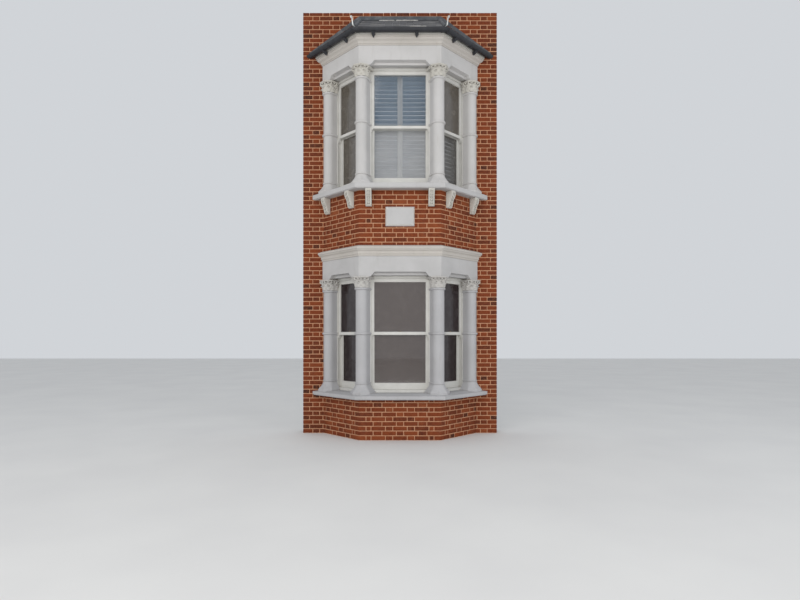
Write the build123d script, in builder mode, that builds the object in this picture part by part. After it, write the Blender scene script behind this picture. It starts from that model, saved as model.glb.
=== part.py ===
from build123d import *
import os
from math import cos, radians, sin, tan

os.makedirs("parts", exist_ok=True)

# Plan of the bay. X runs along the house wall, the street lies towards -Y and Z is up.
# The origin is on the ground, on the wall face, in the middle of the bay.
half_front = 652            # half the front face, corner to corner
projection = 665            # wall face to front face
cant = 45                   # the side faces stand at this angle to the wall
wall_thickness = 225        # the slice of house wall that carries the bay
wall_beyond_gutter = 60
wall_above_roof = 122

# Heights, from the ground up
plinth_height = 650
ground_sill_thickness = 90
ground_column_height = 1848  # sill to the underside of the frieze
ground_frieze_height = 325
ground_cornice_height = 170
apron_height = 872
first_sill_thickness = 110
first_column_height = 1862
first_frieze_height = 305
first_cornice_height = 128
fascia_height = 69
eaves_edge = 26             # thickness of the slates and boarding at the eaves
roof_rise = 570

# How far each band stands in front of the face plane, and how thick the walls are
brick_setback = 15
brick_thickness = 225
sill_nosing = 120
sill_weathering = 28
sill_nose_step = 14
sill_nose_rise = 10
ground_cornice_nosing = 57
first_cornice_nosing = 76
bed_nosing = 10
fascia_nosing = 86
fascia_thickness = 110
eaves_nosing = 122

# Members of the two cornices, from the bed upwards; the cyma takes the rest
ground_bed_height = 30
ground_fillet_height = 24
ground_corona_height = 30
ground_weathering = 26
first_bed_height = 20
first_fillet_height = 10
first_corona_height = 30
fillet_step = 9
cyma_sag = 5

# Windows
window_setback = 170        # face plane to the front of the box frames
front_opening = 968
inner_pier = 170            # from a front corner to the side opening
outer_pier = 170            # from the wall to the side opening
frame_rebate = 25           # how far a box frame is hidden behind its piers
frame_head_rise = 52        # how far a box frame runs up behind the frieze
outer_lining = 20
sash_thickness = 45
parting_bead = 9
inner_lining = 21
lining_width = 24           # seen width of the outer lining
sash_housing = 14           # how far a sash runs behind the lining
frame_head = 62
frame_sill = 42
stile = 42
top_rail = 56
meeting_rail = 46
bottom_rail = 104
sash_play = 0.3
glass_thickness = 4
horn_length = 58
horn_width = 46
horn_hollow = 9
meeting_height = 952        # sill to the middle of the meeting rails

# Columns
shaft_radius = 97
inner_column_setback = 110  # corner to the axis, along the bisector
outer_column_from_wall = 85
outer_column_setback = 78
pier_depth = 205
plinth_block_height = 62
base_height = 158
base_waist = 102            # height of the hollow of the flared base
base_spread = 56
base_waist_spread = 26
base_neck = 10
ring_radius = 15
mid_ring_radius = 20
ground_mid_ring = 950       # above the sill
first_mid_ring = 974
capital_height = 170
abacus_thickness = 22
abacus_spread = 56
bell_spread = 36

# Frieze recess over each window
recess_width = 940
recess_top_width = 800
recess_height = 76
recess_depth = 72
recess_fall = 12            # how much lower its head is at the back
recess_draw = 10            # how much each side of its foot draws in towards the back
recess_soffit = 26          # the level soffit behind it, above the frieze foot
side_recess_margin = 8

# Apron plaque and consoles
plaque_width = 455
plaque_height = 307
plaque_thickness = 28
plaque_rise = 298           # apron foot to the foot of the plaque
plaque_chamfer = 16
console_width = 96
console_height = 262
console_depth = 120
console_cap_height = 26
console_waist_depth = 76
console_foot_depth = 46
front_console_places = (-494, 494)
side_console_from_corner = 178
side_console_from_wall = 148

# Floors and ceilings
floor_below_sill = 450
floor_depth = 270           # boards, joists and the ceiling under them
ceiling_above_frieze_foot = 220
board_thickness = 22
plaster_thickness = 15
joist_width = 50
ground_joist_depth = 120

# Roof
roof_top_half_width = 668
roof_thickness = 62
hip_roll_radius = 32
flashing_thickness = 4
flashing_upstand = 60
flashing_apron = 80
hip_iron_width = 26
hip_iron_thickness = 6
hip_iron_reach = 34
hip_iron_rise = 105
hip_iron_bend = 24
hip_iron_curl = 17          # radius of the curl at the tip
hip_iron_turn = 240         # degrees

# Gutter
gutter_width = 100
gutter_depth = 56
gutter_wall = 5
gutter_gap = 6
gutter_drop = 12
bracket_width = 58
bracket_tip = 14
bracket_height = 50
bracket_reach = 96
front_bracket_places = (-415, 262)
side_bracket_from_corner = 190
side_bracket_from_wall = 222

# Shutters in the first-floor windows
shutter_thickness = 28
shutter_stile = 42
shutter_rail = 62
shutter_gap = 3
louvre_pitch = 68
louvre_width = 64
louvre_thickness = 8
open_louvre_angle = 28
closed_louvre_angle = 74

half_cant = radians(cant / 2)
face_length = projection / sin(radians(cant))
frame_depth = outer_lining + 2 * sash_thickness + parting_bead + inner_lining
inner_face = -(window_setback + frame_depth)
brick_inner = -(brick_setback + brick_thickness)
side_opening = face_length - inner_pier - outer_pier
side_opening_shift = (outer_pier - inner_pier) / 2
gutter_back = fascia_nosing + gutter_gap
gutter_radius = gutter_width / 2
gutter_nosing = gutter_back + gutter_width

ground_sill_top = plinth_height + ground_sill_thickness
ground_frieze_foot = ground_sill_top + ground_column_height
ground_cornice_foot = ground_frieze_foot + ground_frieze_height
apron_foot = ground_cornice_foot + ground_cornice_height
first_sill_foot = apron_foot + apron_height
first_sill_top = first_sill_foot + first_sill_thickness
first_frieze_foot = first_sill_top + first_column_height
first_cornice_foot = first_frieze_foot + first_frieze_height
fascia_foot = first_cornice_foot + first_cornice_height
eaves_level = fascia_foot + fascia_height
slope_foot = eaves_level + eaves_edge
roof_top = slope_foot + roof_rise
wall_top = roof_top + wall_above_roof

ground_floor_level = plinth_height - floor_below_sill
first_floor_level = first_sill_foot - floor_below_sill
ground_ceiling_level = first_floor_level - floor_depth
first_ceiling_level = first_frieze_foot + ceiling_above_frieze_foot
gutter_rim = eaves_level - gutter_drop
gutter_bottom = gutter_rim - gutter_depth

SIDES = {"left": -1, "centre": 0, "right": 1}


def export(builder, label):
    builder.part.label = label
    export_step(builder.part, f"parts/{label}.step")


# Plan geometry shared by every band

def bay_half_width(nosing):
    """Half the width at the wall of the outline that is moved outwards by nosing."""
    return half_front + nosing * tan(half_cant) + (projection + nosing) / tan(radians(cant))


def bay_outline(nosing):
    """Corners of the canted outline, moved outwards by nosing; the wall closes it."""
    front = half_front + nosing * tan(half_cant)
    wide = bay_half_width(nosing)
    return [(-wide, 0), (-front, -projection - nosing), (front, -projection - nosing), (wide, 0)]


def face_plane(side):
    """Plane on a face of the bay: x along the face, y up, z outwards, origin in its middle."""
    turn = side * radians(cant)
    middle = half_front + projection / tan(radians(cant)) / 2 if side else 0
    depth = -projection / 2 if side else -projection
    return Plane(
        origin=(side * middle, depth, 0), x_dir=(cos(turn), sin(turn), 0),
        z_dir=(sin(turn), -cos(turn), 0),
    )


def outward_plane(side, spot):
    """Plane square to a face at a spot along it: x outwards from the face, y up."""
    face = face_plane(side)
    return Plane(origin=face.from_local_coords((spot, 0, 0)), x_dir=face.z_dir, z_dir=-face.x_dir)


def opening(side):
    """Middle and width of a window opening, along its face."""
    if side == 0:
        return 0, front_opening
    return -side * side_opening_shift, side_opening


def spots(side, front_places, from_corner, from_wall):
    """Two places along a face: as given on the front, from the corner and from the wall on a canted side."""
    if side == 0:
        return front_places
    half = face_length / 2
    return -side * (half - from_corner), side * (half - from_wall)


def bay_band(outer, inner, low, high):
    """A canted wall between two outlines, open at the house wall."""
    with BuildPart() as band:
        with BuildSketch(Plane.XY.offset(low)):
            Polygon(*bay_outline(outer), align=None)
            Polygon(*bay_outline(inner), align=None, mode=Mode.SUBTRACT)
        extrude(amount=high - low)
    return band


def bay_path():
    """The line of the three faces, run on behind the wall face so that the ends are cut flush."""
    run_on = projection
    wide = half_front + (projection + run_on) / tan(radians(cant))
    return [(-wide, run_on), (-half_front, -projection), (half_front, -projection), (wide, run_on)]


def path_start():
    """Plane across the start of the path: x outwards from the face, y up."""
    turn = radians(cant)
    x, y = bay_path()[0]
    return Plane(origin=(x, y, 0), x_dir=(-sin(turn), -cos(turn), 0), z_dir=(-cos(turn), sin(turn), 0))


def run_moulding(section, stop=0):
    """Sweep a section round the three faces with mitred corners, cut off square at the wall."""
    with BuildPart() as moulding:
        with BuildLine() as path:
            Polyline(*bay_path())
        with BuildSketch(path_start()):
            add(section)
        sweep(path=path.wires()[0], transition=Transition.RIGHT)
        split(bisect_by=Plane.XZ.offset(stop), keep=Keep.TOP)
    return moulding


# Walls, sills, friezes and cornices

def build_brick_bands():
    export(bay_band(-brick_setback, brick_inner, 0, plinth_height), "plinth_wall")
    export(bay_band(-brick_setback, brick_inner, apron_foot, first_sill_foot), "apron_wall")


def sill_section(low, high):
    """A sill with a weathered top and a square nose over a set-back bed."""
    bed, nose_foot, edge = sill_nosing - sill_nose_step, low + sill_nose_rise, high - sill_weathering
    with BuildSketch() as section:
        Polygon(
            (inner_face, low), (bed, low), (bed, nose_foot), (sill_nosing, nose_foot), (sill_nosing, edge),
            (0, high), (inner_face, high), align=None,
        )
    return section.sketch


def build_sills():
    export(run_moulding(sill_section(plinth_height, ground_sill_top)), "ground_sill")
    export(run_moulding(sill_section(first_sill_foot, first_sill_top)), "first_sill")


def recess_outline(middle, foot, foot_width, height):
    """Trapezoid of a recess on a face, with sides that lean in at the same slope whatever its height."""
    top_width = foot_width - (recess_width - recess_top_width) * height / recess_height
    return [
        (middle - foot_width / 2, foot), (middle + foot_width / 2, foot),
        (middle + top_width / 2, foot + height), (middle - top_width / 2, foot + height),
    ]


def build_frieze(low, high, label):
    """The lintel band: over each window a splayed recess, a fillet and soffit, and room for the frame."""
    with BuildPart() as frieze:
        add(bay_band(0, inner_face, low, high).part)
        for side in SIDES.values():
            middle, width = opening(side)
            face = face_plane(side)
            foot_width = recess_width if side == 0 else width - 2 * side_recess_margin
            back_width = foot_width - 2 * recess_draw
            for deep, wide, height in (
                (0, foot_width, recess_height), (recess_depth, back_width, recess_height - recess_fall),
            ):
                with BuildSketch(face.offset(-deep)):
                    Polygon(*recess_outline(middle, low, wide, height), align=None)
            loft(ruled=True, mode=Mode.SUBTRACT)
            for deep, wide, height, run in (
                (recess_depth, back_width, recess_soffit, window_setback - recess_depth),
                (window_setback, width + 2 * frame_rebate, frame_head_rise, 2 * frame_depth),
            ):
                with BuildSketch(face.offset(-deep)):
                    with Locations((middle, low)):
                        Rectangle(wide, height, align=(Align.CENTER, Align.MIN))
                extrude(amount=-run, mode=Mode.SUBTRACT)
    export(frieze, label)


def cornice_section(low, high, nosing, bed, fillet, corona, weathering):
    """Bed fillet, small step, cyma curve, corona and a sloping top."""
    cyma_foot = (bed_nosing + fillet_step, low + bed + fillet)
    cyma_top = (nosing - fillet_step, high - weathering - corona)
    middle = ((cyma_foot[0] + cyma_top[0]) / 2, (cyma_foot[1] + cyma_top[1]) / 2)
    with BuildSketch() as section:
        with BuildLine():
            Polyline(
                (inner_face, high), (inner_face, low), (bed_nosing, low), (bed_nosing, low + bed),
                (cyma_foot[0], low + bed), cyma_foot,
            )
            SagittaArc(cyma_foot, middle, cyma_sag)
            SagittaArc(middle, cyma_top, -cyma_sag)
            Polyline(
                cyma_top, (nosing, cyma_top[1]), (nosing, high - weathering), (0, high), (inner_face, high),
            )
        make_face()
    return section.sketch


def build_cornices():
    ground = cornice_section(
        ground_cornice_foot, apron_foot, ground_cornice_nosing,
        ground_bed_height, ground_fillet_height, ground_corona_height, ground_weathering,
    )
    export(run_moulding(ground), "ground_cornice")
    first = cornice_section(
        first_cornice_foot, fascia_foot, first_cornice_nosing,
        first_bed_height, first_fillet_height, first_corona_height, 0,
    )
    export(run_moulding(first), "first_cornice")


# Columns and capitals

def column_plane(side, place, level):
    """Plane across a column: the axis at the origin, the nose towards -y."""
    if place == "inner":
        turn, foot = side * half_cant, (side * half_front, -projection)
        setback, along = inner_column_setback, 0
    else:
        turn, foot = side * radians(cant), (side * bay_half_width(0), 0)
        setback, along = outer_column_setback, outer_column_from_wall
    out_x, out_y = sin(turn), -cos(turn)
    x = foot[0] - out_x * setback - side * along * cos(radians(cant))
    y = foot[1] - out_y * setback - along * sin(radians(cant))
    return Plane(origin=(x, y, level), x_dir=(-out_y, out_x, 0), z_dir=(0, 0, 1))


def keyhole(radius):
    """A half-round nose on a straight-sided pier."""
    Circle(radius)
    Rectangle(2 * radius, pier_depth, align=(Align.CENTER, Align.MIN))


def half_octagon(radius):
    """The same outline with three flats for the nose."""
    flat = radius * tan(radians(180 / 8))
    Polygon(
        (-radius, pier_depth), (-radius, -flat), (-flat, -radius), (flat, -radius),
        (radius, -flat), (radius, pier_depth), align=None,
    )


def cut_for_frames(side, low, high):
    """Clear the box frames that stand behind a pier, and end the pier at the wall face."""
    for face_side in (0, side):
        middle, width = opening(face_side)
        with BuildSketch(face_plane(face_side).offset(-window_setback)) as frame_space:
            with Locations((middle, (low + high) / 2)):
                Rectangle(width + 2 * frame_rebate, high - low)
        extrude(frame_space.sketch, amount=-2 * frame_depth, mode=Mode.SUBTRACT)
    split(bisect_by=Plane.XZ, keep=Keep.TOP)


def build_column(side, place, low, high, mid_ring):
    """One engaged column: eight-sided block, flared base that narrows to the round shaft, three rings."""
    with BuildPart() as column:
        with BuildSketch(column_plane(side, place, low)):
            keyhole(shaft_radius)
        extrude(amount=high - capital_height - low)
        with BuildSketch(column_plane(side, place, low)):
            half_octagon(shaft_radius + base_spread)
        extrude(amount=plinth_block_height)
        for level, spread in (
            (plinth_block_height, base_spread), (base_waist, base_waist_spread), (base_height, base_neck),
        ):
            with BuildSketch(column_plane(side, place, low + level)):
                half_octagon(shaft_radius + spread)
        loft(ruled=True)
        neck = high - capital_height - low - ring_radius
        for level, radius in ((base_height, ring_radius), (mid_ring, mid_ring_radius), (neck, ring_radius)):
            for up in (-1, 1):
                with BuildSketch(column_plane(side, place, low + level)):
                    keyhole(shaft_radius + radius)
                extrude(amount=up * radius, taper=45)
        cut_for_frames(side, low, high)
    return column


def build_columns(low, high, mid_ring, label):
    with BuildPart() as columns:
        for side in (-1, 1):
            for place in ("inner", "outer"):
                add(build_column(side, place, low, high, mid_ring).part)
    export(columns, label)


def build_capitals(low, high, label):
    """Four capitals: a bell that spreads from the shaft to a thin slab under the frieze."""
    foot = high - capital_height
    with BuildPart() as capitals:
        for side in (-1, 1):
            for place in ("inner", "outer"):
                for level, spread in ((0, 0), (capital_height - abacus_thickness, bell_spread)):
                    with BuildSketch(column_plane(side, place, foot + level)):
                        half_octagon(shaft_radius + spread)
                loft(ruled=True)
                with BuildSketch(column_plane(side, place, high - abacus_thickness)):
                    half_octagon(shaft_radius + abacus_spread)
                extrude(amount=abacus_thickness)
        for side in (-1, 1):
            cut_for_frames(side, low, high)
    export(capitals, label)


# Sash windows

def clear_width(side):
    """The opening of a box frame between its outer linings."""
    return opening(side)[1] - 2 * lining_width


def build_frame(side, low, high, label):
    """A box frame: linings at the outside and inside and a parting bead, with sash runs between."""
    middle, width = opening(side)
    seen = (clear_width(side), high - frame_head)
    housed = (clear_width(side) + 2 * sash_housing, high - frame_head + sash_housing)
    depth = window_setback
    with BuildPart() as frame:
        for thickness, (clear, clear_top) in (
            (outer_lining, seen), (sash_thickness, housed), (parting_bead, seen),
            (sash_thickness, housed), (inner_lining, seen),
        ):
            with BuildSketch(face_plane(side).offset(-depth)):
                with Locations((middle, (low + high) / 2)):
                    Rectangle(width + 2 * frame_rebate, high - low)
                with Locations((middle, (low + frame_sill + clear_top) / 2)):
                    Rectangle(clear, clear_top - low - frame_sill, mode=Mode.SUBTRACT)
            extrude(amount=-thickness)
            depth += thickness
    export(frame, label)


def sash_pair(low, high, meeting):
    """Upper sash in the outer run, lower sash in the inner run: depth, foot, head and the two rails."""
    upper_depth = window_setback + outer_lining
    lower_depth = upper_depth + sash_thickness + parting_bead
    return (
        (upper_depth, meeting - meeting_rail / 2, high - frame_head + sash_housing, meeting_rail,
         top_rail + sash_housing),
        (lower_depth, low + frame_sill, meeting + meeting_rail / 2, bottom_rail, meeting_rail),
    )


def horn(x, foot, inwards):
    """The foot of a stile below the meeting rail, hollowed on its inner side."""
    with BuildSketch() as section:
        with BuildLine():
            Polyline(
                (x + inwards * horn_width, foot), (x, foot), (x, foot - horn_length),
                (x + inwards * horn_width / 2, foot - horn_length),
            )
            SagittaArc(
                (x + inwards * horn_width / 2, foot - horn_length), (x + inwards * horn_width, foot),
                inwards * horn_hollow,
            )
        make_face()
    return section.sketch


def build_sashes(side, low, high, meeting, label):
    middle = opening(side)[0]
    sash_width = clear_width(side) + 2 * (sash_housing - sash_play)
    glass_width = clear_width(side) - 2 * stile
    with BuildPart() as sashes:
        for depth, foot, head, foot_rail, head_rail in sash_pair(low, high, meeting):
            glass_foot, glass_head = foot + foot_rail, head - head_rail
            with BuildSketch(face_plane(side).offset(-depth - sash_play)):
                with Locations((middle, (foot + head) / 2)):
                    Rectangle(sash_width, head - foot)
                with Locations((middle, (glass_foot + glass_head) / 2)):
                    Rectangle(glass_width, glass_head - glass_foot, mode=Mode.SUBTRACT)
                if head > meeting + meeting_rail:
                    for inwards in (-1, 1):
                        add(horn(middle - inwards * sash_width / 2, foot, inwards))
            extrude(amount=-(sash_thickness - 2 * sash_play))
    export(sashes, label)


def build_glass(low, high, meeting, label):
    """Six panes, one for each sash of a storey."""
    with BuildPart() as glass:
        for side in SIDES.values():
            middle = opening(side)[0]
            for depth, foot, head, foot_rail, head_rail in sash_pair(low, high, meeting):
                glass_foot, glass_head = foot + foot_rail, head - head_rail
                inset = (sash_thickness - glass_thickness) / 2
                with BuildSketch(face_plane(side).offset(-depth - inset)):
                    with Locations((middle, (glass_foot + glass_head) / 2)):
                        Rectangle(clear_width(side) - 2 * stile, glass_head - glass_foot)
                extrude(amount=-glass_thickness)
    export(glass, label)


# Plaque and consoles on the apron

def build_plaque():
    middle = apron_foot + plaque_rise + plaque_height / 2
    with BuildPart() as plaque:
        with BuildSketch(face_plane(0).offset(-brick_setback)):
            with Locations((0, middle)):
                Rectangle(plaque_width, plaque_height)
        extrude(amount=plaque_thickness)
        chamfer(plaque.faces().sort_by(Axis.Y)[0].edges(), plaque_chamfer)
    export(plaque, "plaque")


def build_consoles():
    """Six brackets under the first-floor sill: a square cap over a hollowed taper, with a rolled foot."""
    top, foot = first_sill_foot, first_sill_foot - console_height
    back = -brick_setback
    front = back + console_depth
    waist = back + console_waist_depth
    toe = back + console_foot_depth
    with BuildPart() as consoles:
        for side in SIDES.values():
            for spot in spots(
                side, front_console_places, side_console_from_corner, side_console_from_wall,
            ):
                with BuildSketch(outward_plane(side, spot)):
                    with BuildLine():
                        Polyline((back, foot), (back, top), (front, top), (front, top - console_cap_height))
                        middle = (waist, (top + foot) / 2)
                        roll = console_foot_depth / 2
                        SagittaArc((front, top - console_cap_height), middle, roll / 2)
                        Line(middle, (toe, foot + roll))
                        RadiusArc((toe, foot + roll), (toe - roll, foot), roll)
                        Line((toe - roll, foot), (back, foot))
                    make_face()
                extrude(amount=console_width / 2, both=True)
    export(consoles, "consoles")


# Floors and ceilings

def build_floor(level, joist_depth, label):
    """Boards on three joists that run from side to side of the bay."""
    outline = bay_outline(brick_inner)
    depth = projection + brick_inner
    with BuildPart() as floor:
        with BuildSketch(Plane.XY.offset(level - board_thickness)):
            Polygon(*outline, align=None)
        extrude(amount=board_thickness)
        with BuildSketch(Plane.XY.offset(level - board_thickness - joist_depth)):
            with Locations((0, -joist_width / 2), (0, -depth / 2), (0, -depth + joist_width / 2)):
                Rectangle(2 * bay_half_width(0), joist_width)
            Polygon(*outline, align=None, mode=Mode.INTERSECT)
        extrude(amount=joist_depth)
    export(floor, label)


def build_ceiling(inner, level, label):
    with BuildPart() as ceiling:
        with BuildSketch(Plane.XY.offset(level)):
            Polygon(*bay_outline(inner), align=None)
        extrude(amount=plaster_thickness)
    export(ceiling, label)


def build_floors():
    build_floor(ground_floor_level, ground_joist_depth, "ground_floor")
    build_floor(first_floor_level, floor_depth - board_thickness - plaster_thickness, "first_floor")
    build_ceiling(brick_inner, ground_ceiling_level, "ground_ceiling")
    build_ceiling(inner_face, first_ceiling_level, "first_ceiling")


# House wall

def build_wall():
    """Two piers with splayed jambs, which the box frames meet, and the wall between them."""
    front = bay_half_width(0) - (outer_pier - frame_rebate) / cos(radians(cant))
    back = front - wall_thickness / tan(radians(cant))
    edge = bay_half_width(gutter_nosing) + wall_beyond_gutter
    for name, side in (("left", -1), ("right", 1)):
        with BuildPart() as pier:
            with BuildSketch():
                Polygon(
                    (side * front, 0), (side * edge, 0), (side * edge, wall_thickness),
                    (side * back, wall_thickness), align=None,
                )
            extrude(amount=wall_top)
        export(pier, f"house_wall_{name}")
    for low, high, label in (
        (0, ground_floor_level, "house_wall_foot"),
        (ground_frieze_foot + frame_head_rise, first_floor_level, "house_wall_middle"),
        (first_frieze_foot + frame_head_rise, wall_top, "house_wall_head"),
    ):
        with BuildPart() as panel:
            with BuildSketch(Plane.XY.offset(low)):
                Polygon(
                    (-front, 0), (front, 0), (back, wall_thickness), (-back, wall_thickness), align=None,
                )
            extrude(amount=high - low)
        export(panel, label)


# Roof

def hip_ends(side):
    """Foot and top of a hip line."""
    front = half_front + eaves_nosing * tan(half_cant)
    foot = Vector(side * front, -projection - eaves_nosing, slope_foot)
    return foot, Vector(side * roof_top_half_width, 0, roof_top)


def slope_plane(side, drop):
    """The plane of one roof slope, lowered by drop; its normal points out of the roof."""
    foot, top = hip_ends(side or 1)
    along = Vector(1, 0, 0) if side == 0 else Vector(side * cos(radians(cant)), sin(radians(cant)), 0)
    normal = along.cross(top - foot)
    if normal.Z < 0:
        normal = normal * -1
    return Plane(origin=foot - Vector(0, 0, drop), x_dir=along, z_dir=normal)


def roof_block(nosing, drop, low):
    """Everything under the three slopes and inside an outline."""
    with BuildPart() as block:
        with BuildSketch(Plane.XY.offset(low)):
            Polygon(*bay_outline(nosing), align=None)
        extrude(amount=roof_top - low)
        for side in SIDES.values():
            split(bisect_by=slope_plane(side, drop), keep=Keep.BOTTOM)
    return block


def build_roof():
    fascia_inner = fascia_nosing - fascia_thickness
    export(bay_band(fascia_nosing, fascia_inner, fascia_foot, eaves_level), "fascia")
    with BuildPart() as roof:
        add(roof_block(eaves_nosing, 0, eaves_level).part)
        add(roof_block(fascia_inner, roof_thickness, eaves_level).part, mode=Mode.SUBTRACT)
    export(roof, "roof_slopes")


def build_hip_rolls():
    """A lead roll over each hip, seated on both slopes and stopped at the eaves."""
    with BuildPart() as rolls:
        for side in (-1, 1):
            foot, top = hip_ends(side)
            with BuildSketch(Plane(origin=foot, z_dir=top - foot)):
                Circle(hip_roll_radius)
            extrude(amount=(top - foot).length)
        split(bisect_by=Plane.XZ.offset(flashing_thickness), keep=Keep.TOP)
        split(bisect_by=Plane.XY.offset(eaves_level), keep=Keep.TOP)
        add(roof_block(eaves_nosing, 0, eaves_level).part, mode=Mode.SUBTRACT)
    export(rolls, "hip_rolls")


def build_hip_irons():
    """A flat iron bar at the foot of each hip roll, bent up and curled over at its tip."""
    with BuildPart() as irons:
        for side in (-1, 1):
            foot, top = hip_ends(side)
            away = Vector(foot.X - top.X, foot.Y - top.Y, 0).normalized()
            middle = Vector(foot.X, foot.Y, slope_foot - hip_iron_thickness / 2)
            with BuildLine(Plane(origin=middle, x_dir=away, z_dir=away.cross(Vector(0, 0, 1)))) as bar:
                tail = Line((0, 0), (hip_iron_reach, 0))
                bend = JernArc(tail @ 1, tail % 1, hip_iron_bend, 90)
                stem = Line(bend @ 1, bend @ 1 + Vector(0, 0, 1) * hip_iron_rise)
                JernArc(stem @ 1, stem % 1, hip_iron_curl, -hip_iron_turn)
            with BuildSketch(Plane(origin=middle, x_dir=(0, 0, 1), z_dir=away)):
                Rectangle(hip_iron_thickness, hip_iron_width)
            sweep(path=bar.wires()[0])
    export(irons, "hip_irons")


def build_flashing():
    """Lead on the wall above the roof, and an apron over the top of the front slope."""
    foot, top = bay_half_width(eaves_nosing), roof_top_half_width
    outer_foot, outer_top = foot + flashing_upstand, top + flashing_upstand / 2
    with BuildPart() as flashing:
        with BuildSketch(Plane.XZ):
            Polygon(
                (-outer_foot, slope_foot), (-outer_top, roof_top + flashing_upstand),
                (outer_top, roof_top + flashing_upstand), (outer_foot, slope_foot), align=None,
            )
            Polygon(
                (-foot, slope_foot), (-top, roof_top), (top, roof_top), (foot, slope_foot),
                align=None, mode=Mode.SUBTRACT,
            )
        extrude(amount=flashing_thickness)
        front = slope_plane(0, 0)
        slope_top = front.to_local_coords(Vector(0, 0, roof_top)).Y
        with BuildSketch(front):
            with Locations((-hip_ends(1)[0].X, slope_top - flashing_apron / 2)):
                Rectangle(2 * (top - hip_roll_radius), flashing_apron)
        extrude(amount=flashing_thickness)
        split(bisect_by=Plane.XZ, keep=Keep.TOP)
    export(flashing, "flashing")


# Gutter

def gutter_section(wall):
    """Outline of the gutter, a half-round under two straight sides, drawn in by wall."""
    with BuildSketch() as section:
        with Locations((gutter_back + gutter_radius, gutter_bottom + gutter_radius)):
            Circle(gutter_radius - wall)
            Rectangle(
                2 * (gutter_radius - wall), gutter_depth - gutter_radius, align=(Align.CENTER, Align.MIN),
            )
        with Locations((gutter_back + gutter_radius, gutter_rim)):
            Rectangle(gutter_width, gutter_radius, align=(Align.CENTER, Align.MIN), mode=Mode.SUBTRACT)
    return section.sketch


def build_gutter():
    """A half-round gutter round the three faces, with stop ends at the wall."""
    with BuildPart() as gutter:
        add(run_moulding(gutter_section(0)).part)
        add(run_moulding(gutter_section(gutter_wall), gutter_wall).part, mode=Mode.SUBTRACT)
    export(gutter, "gutter")


def build_gutter_brackets():
    """Two tapered brackets under the gutter on each face, shaped to its round bottom."""
    with BuildPart() as brackets:
        for side in SIDES.values():
            for spot in spots(
                side, front_bracket_places, side_bracket_from_corner, side_bracket_from_wall,
            ):
                with BuildSketch(face_plane(side).offset(first_cornice_nosing)):
                    Polygon(
                        (spot - bracket_width / 2, fascia_foot), (spot + bracket_width / 2, fascia_foot),
                        (spot + bracket_tip / 2, gutter_bottom - bracket_height),
                        (spot - bracket_tip / 2, gutter_bottom - bracket_height), align=None,
                    )
                extrude(amount=bracket_reach)
                with BuildSketch(outward_plane(side, spot)):
                    with Locations((gutter_back + gutter_radius, gutter_bottom + gutter_radius)):
                        Circle(gutter_radius)
                extrude(amount=bracket_width, both=True, mode=Mode.SUBTRACT)
                with BuildSketch(outward_plane(side, spot)):
                    Polygon(
                        (first_cornice_nosing + bracket_height / 2, gutter_bottom - bracket_height),
                        (first_cornice_nosing + bracket_reach, gutter_bottom - bracket_height),
                        (first_cornice_nosing + bracket_reach, gutter_bottom), align=None,
                    )
                extrude(amount=bracket_width, both=True, mode=Mode.SUBTRACT)
    export(brackets, "gutter_brackets")


# Shutters

def shutter_leaves(side, leaves, high):
    """Shutter leaves inside a first-floor window: closed louvres below the middle rail, open ones above."""
    middle, width = opening(side)
    face = face_plane(side).offset(inner_face)
    low = first_sill_top + frame_sill
    total = width - lining_width
    leaf_width = (total - (leaves - 1) * shutter_gap) / leaves
    clear = leaf_width - 2 * shutter_stile
    meeting = first_sill_top + meeting_height
    panels = [(low + shutter_rail, min(meeting, high) - shutter_rail / 2, closed_louvre_angle)]
    if high > meeting:
        panels.append((meeting + shutter_rail / 2, high - shutter_rail, open_louvre_angle))
    with BuildPart() as shutters:
        for number in range(leaves):
            start = middle - total / 2 + number * (leaf_width + shutter_gap)
            with BuildSketch(face):
                with Locations((start + leaf_width / 2, (low + high) / 2)):
                    Rectangle(leaf_width, high - low)
                for panel_low, panel_high, angle in panels:
                    with Locations((start + leaf_width / 2, (panel_low + panel_high) / 2)):
                        Rectangle(clear, panel_high - panel_low, mode=Mode.SUBTRACT)
            extrude(amount=-shutter_thickness)
            for panel_low, panel_high, angle in panels:
                count = round((panel_high - panel_low) / louvre_pitch)
                pitch = (panel_high - panel_low) / count
                depth = inner_face - shutter_thickness / 2
                with BuildSketch(outward_plane(side, start + shutter_stile)):
                    with Locations(*[(depth, panel_low + (row + 1 / 2) * pitch) for row in range(count)]):
                        Rectangle(louvre_width, louvre_thickness, rotation=-angle)
                extrude(amount=-clear)
    return shutters


def build_shutters():
    """A full-height pair in the front window and one low leaf in the right window."""
    with BuildPart() as shutters:
        add(shutter_leaves(0, 2, first_frieze_foot + frame_head_rise - frame_head / 2).part)
        add(shutter_leaves(1, 1, first_sill_top + meeting_height).part)
    export(shutters, "first_shutters")


def build_storey(storey, low, high, mid_ring):
    meeting, head = low + meeting_height, high + frame_head_rise
    build_columns(low, high, mid_ring, f"{storey}_columns")
    build_capitals(low, high, f"{storey}_capitals")
    for name, side in SIDES.items():
        build_frame(side, low, head, f"{storey}_{name}_frame")
        build_sashes(side, low, head, meeting, f"{storey}_{name}_sashes")
    build_glass(low, head, meeting, f"{storey}_glass")


build_brick_bands()
build_sills()
build_frieze(ground_frieze_foot, ground_cornice_foot, "ground_frieze")
build_frieze(first_frieze_foot, first_cornice_foot, "first_frieze")
build_cornices()
build_storey("ground", ground_sill_top, ground_frieze_foot, ground_mid_ring)
build_storey("first", first_sill_top, first_frieze_foot, first_mid_ring)
build_plaque()
build_consoles()
build_floors()
build_wall()
build_roof()
build_hip_rolls()
build_hip_irons()
build_flashing()
build_gutter()
build_gutter_brackets()
build_shutters()
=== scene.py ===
import math
import random
from contextlib import contextmanager
from math import atan2, cos, pi, radians, sin, tan

import bmesh
import bpy
from mathutils import Matrix, Vector


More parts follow.
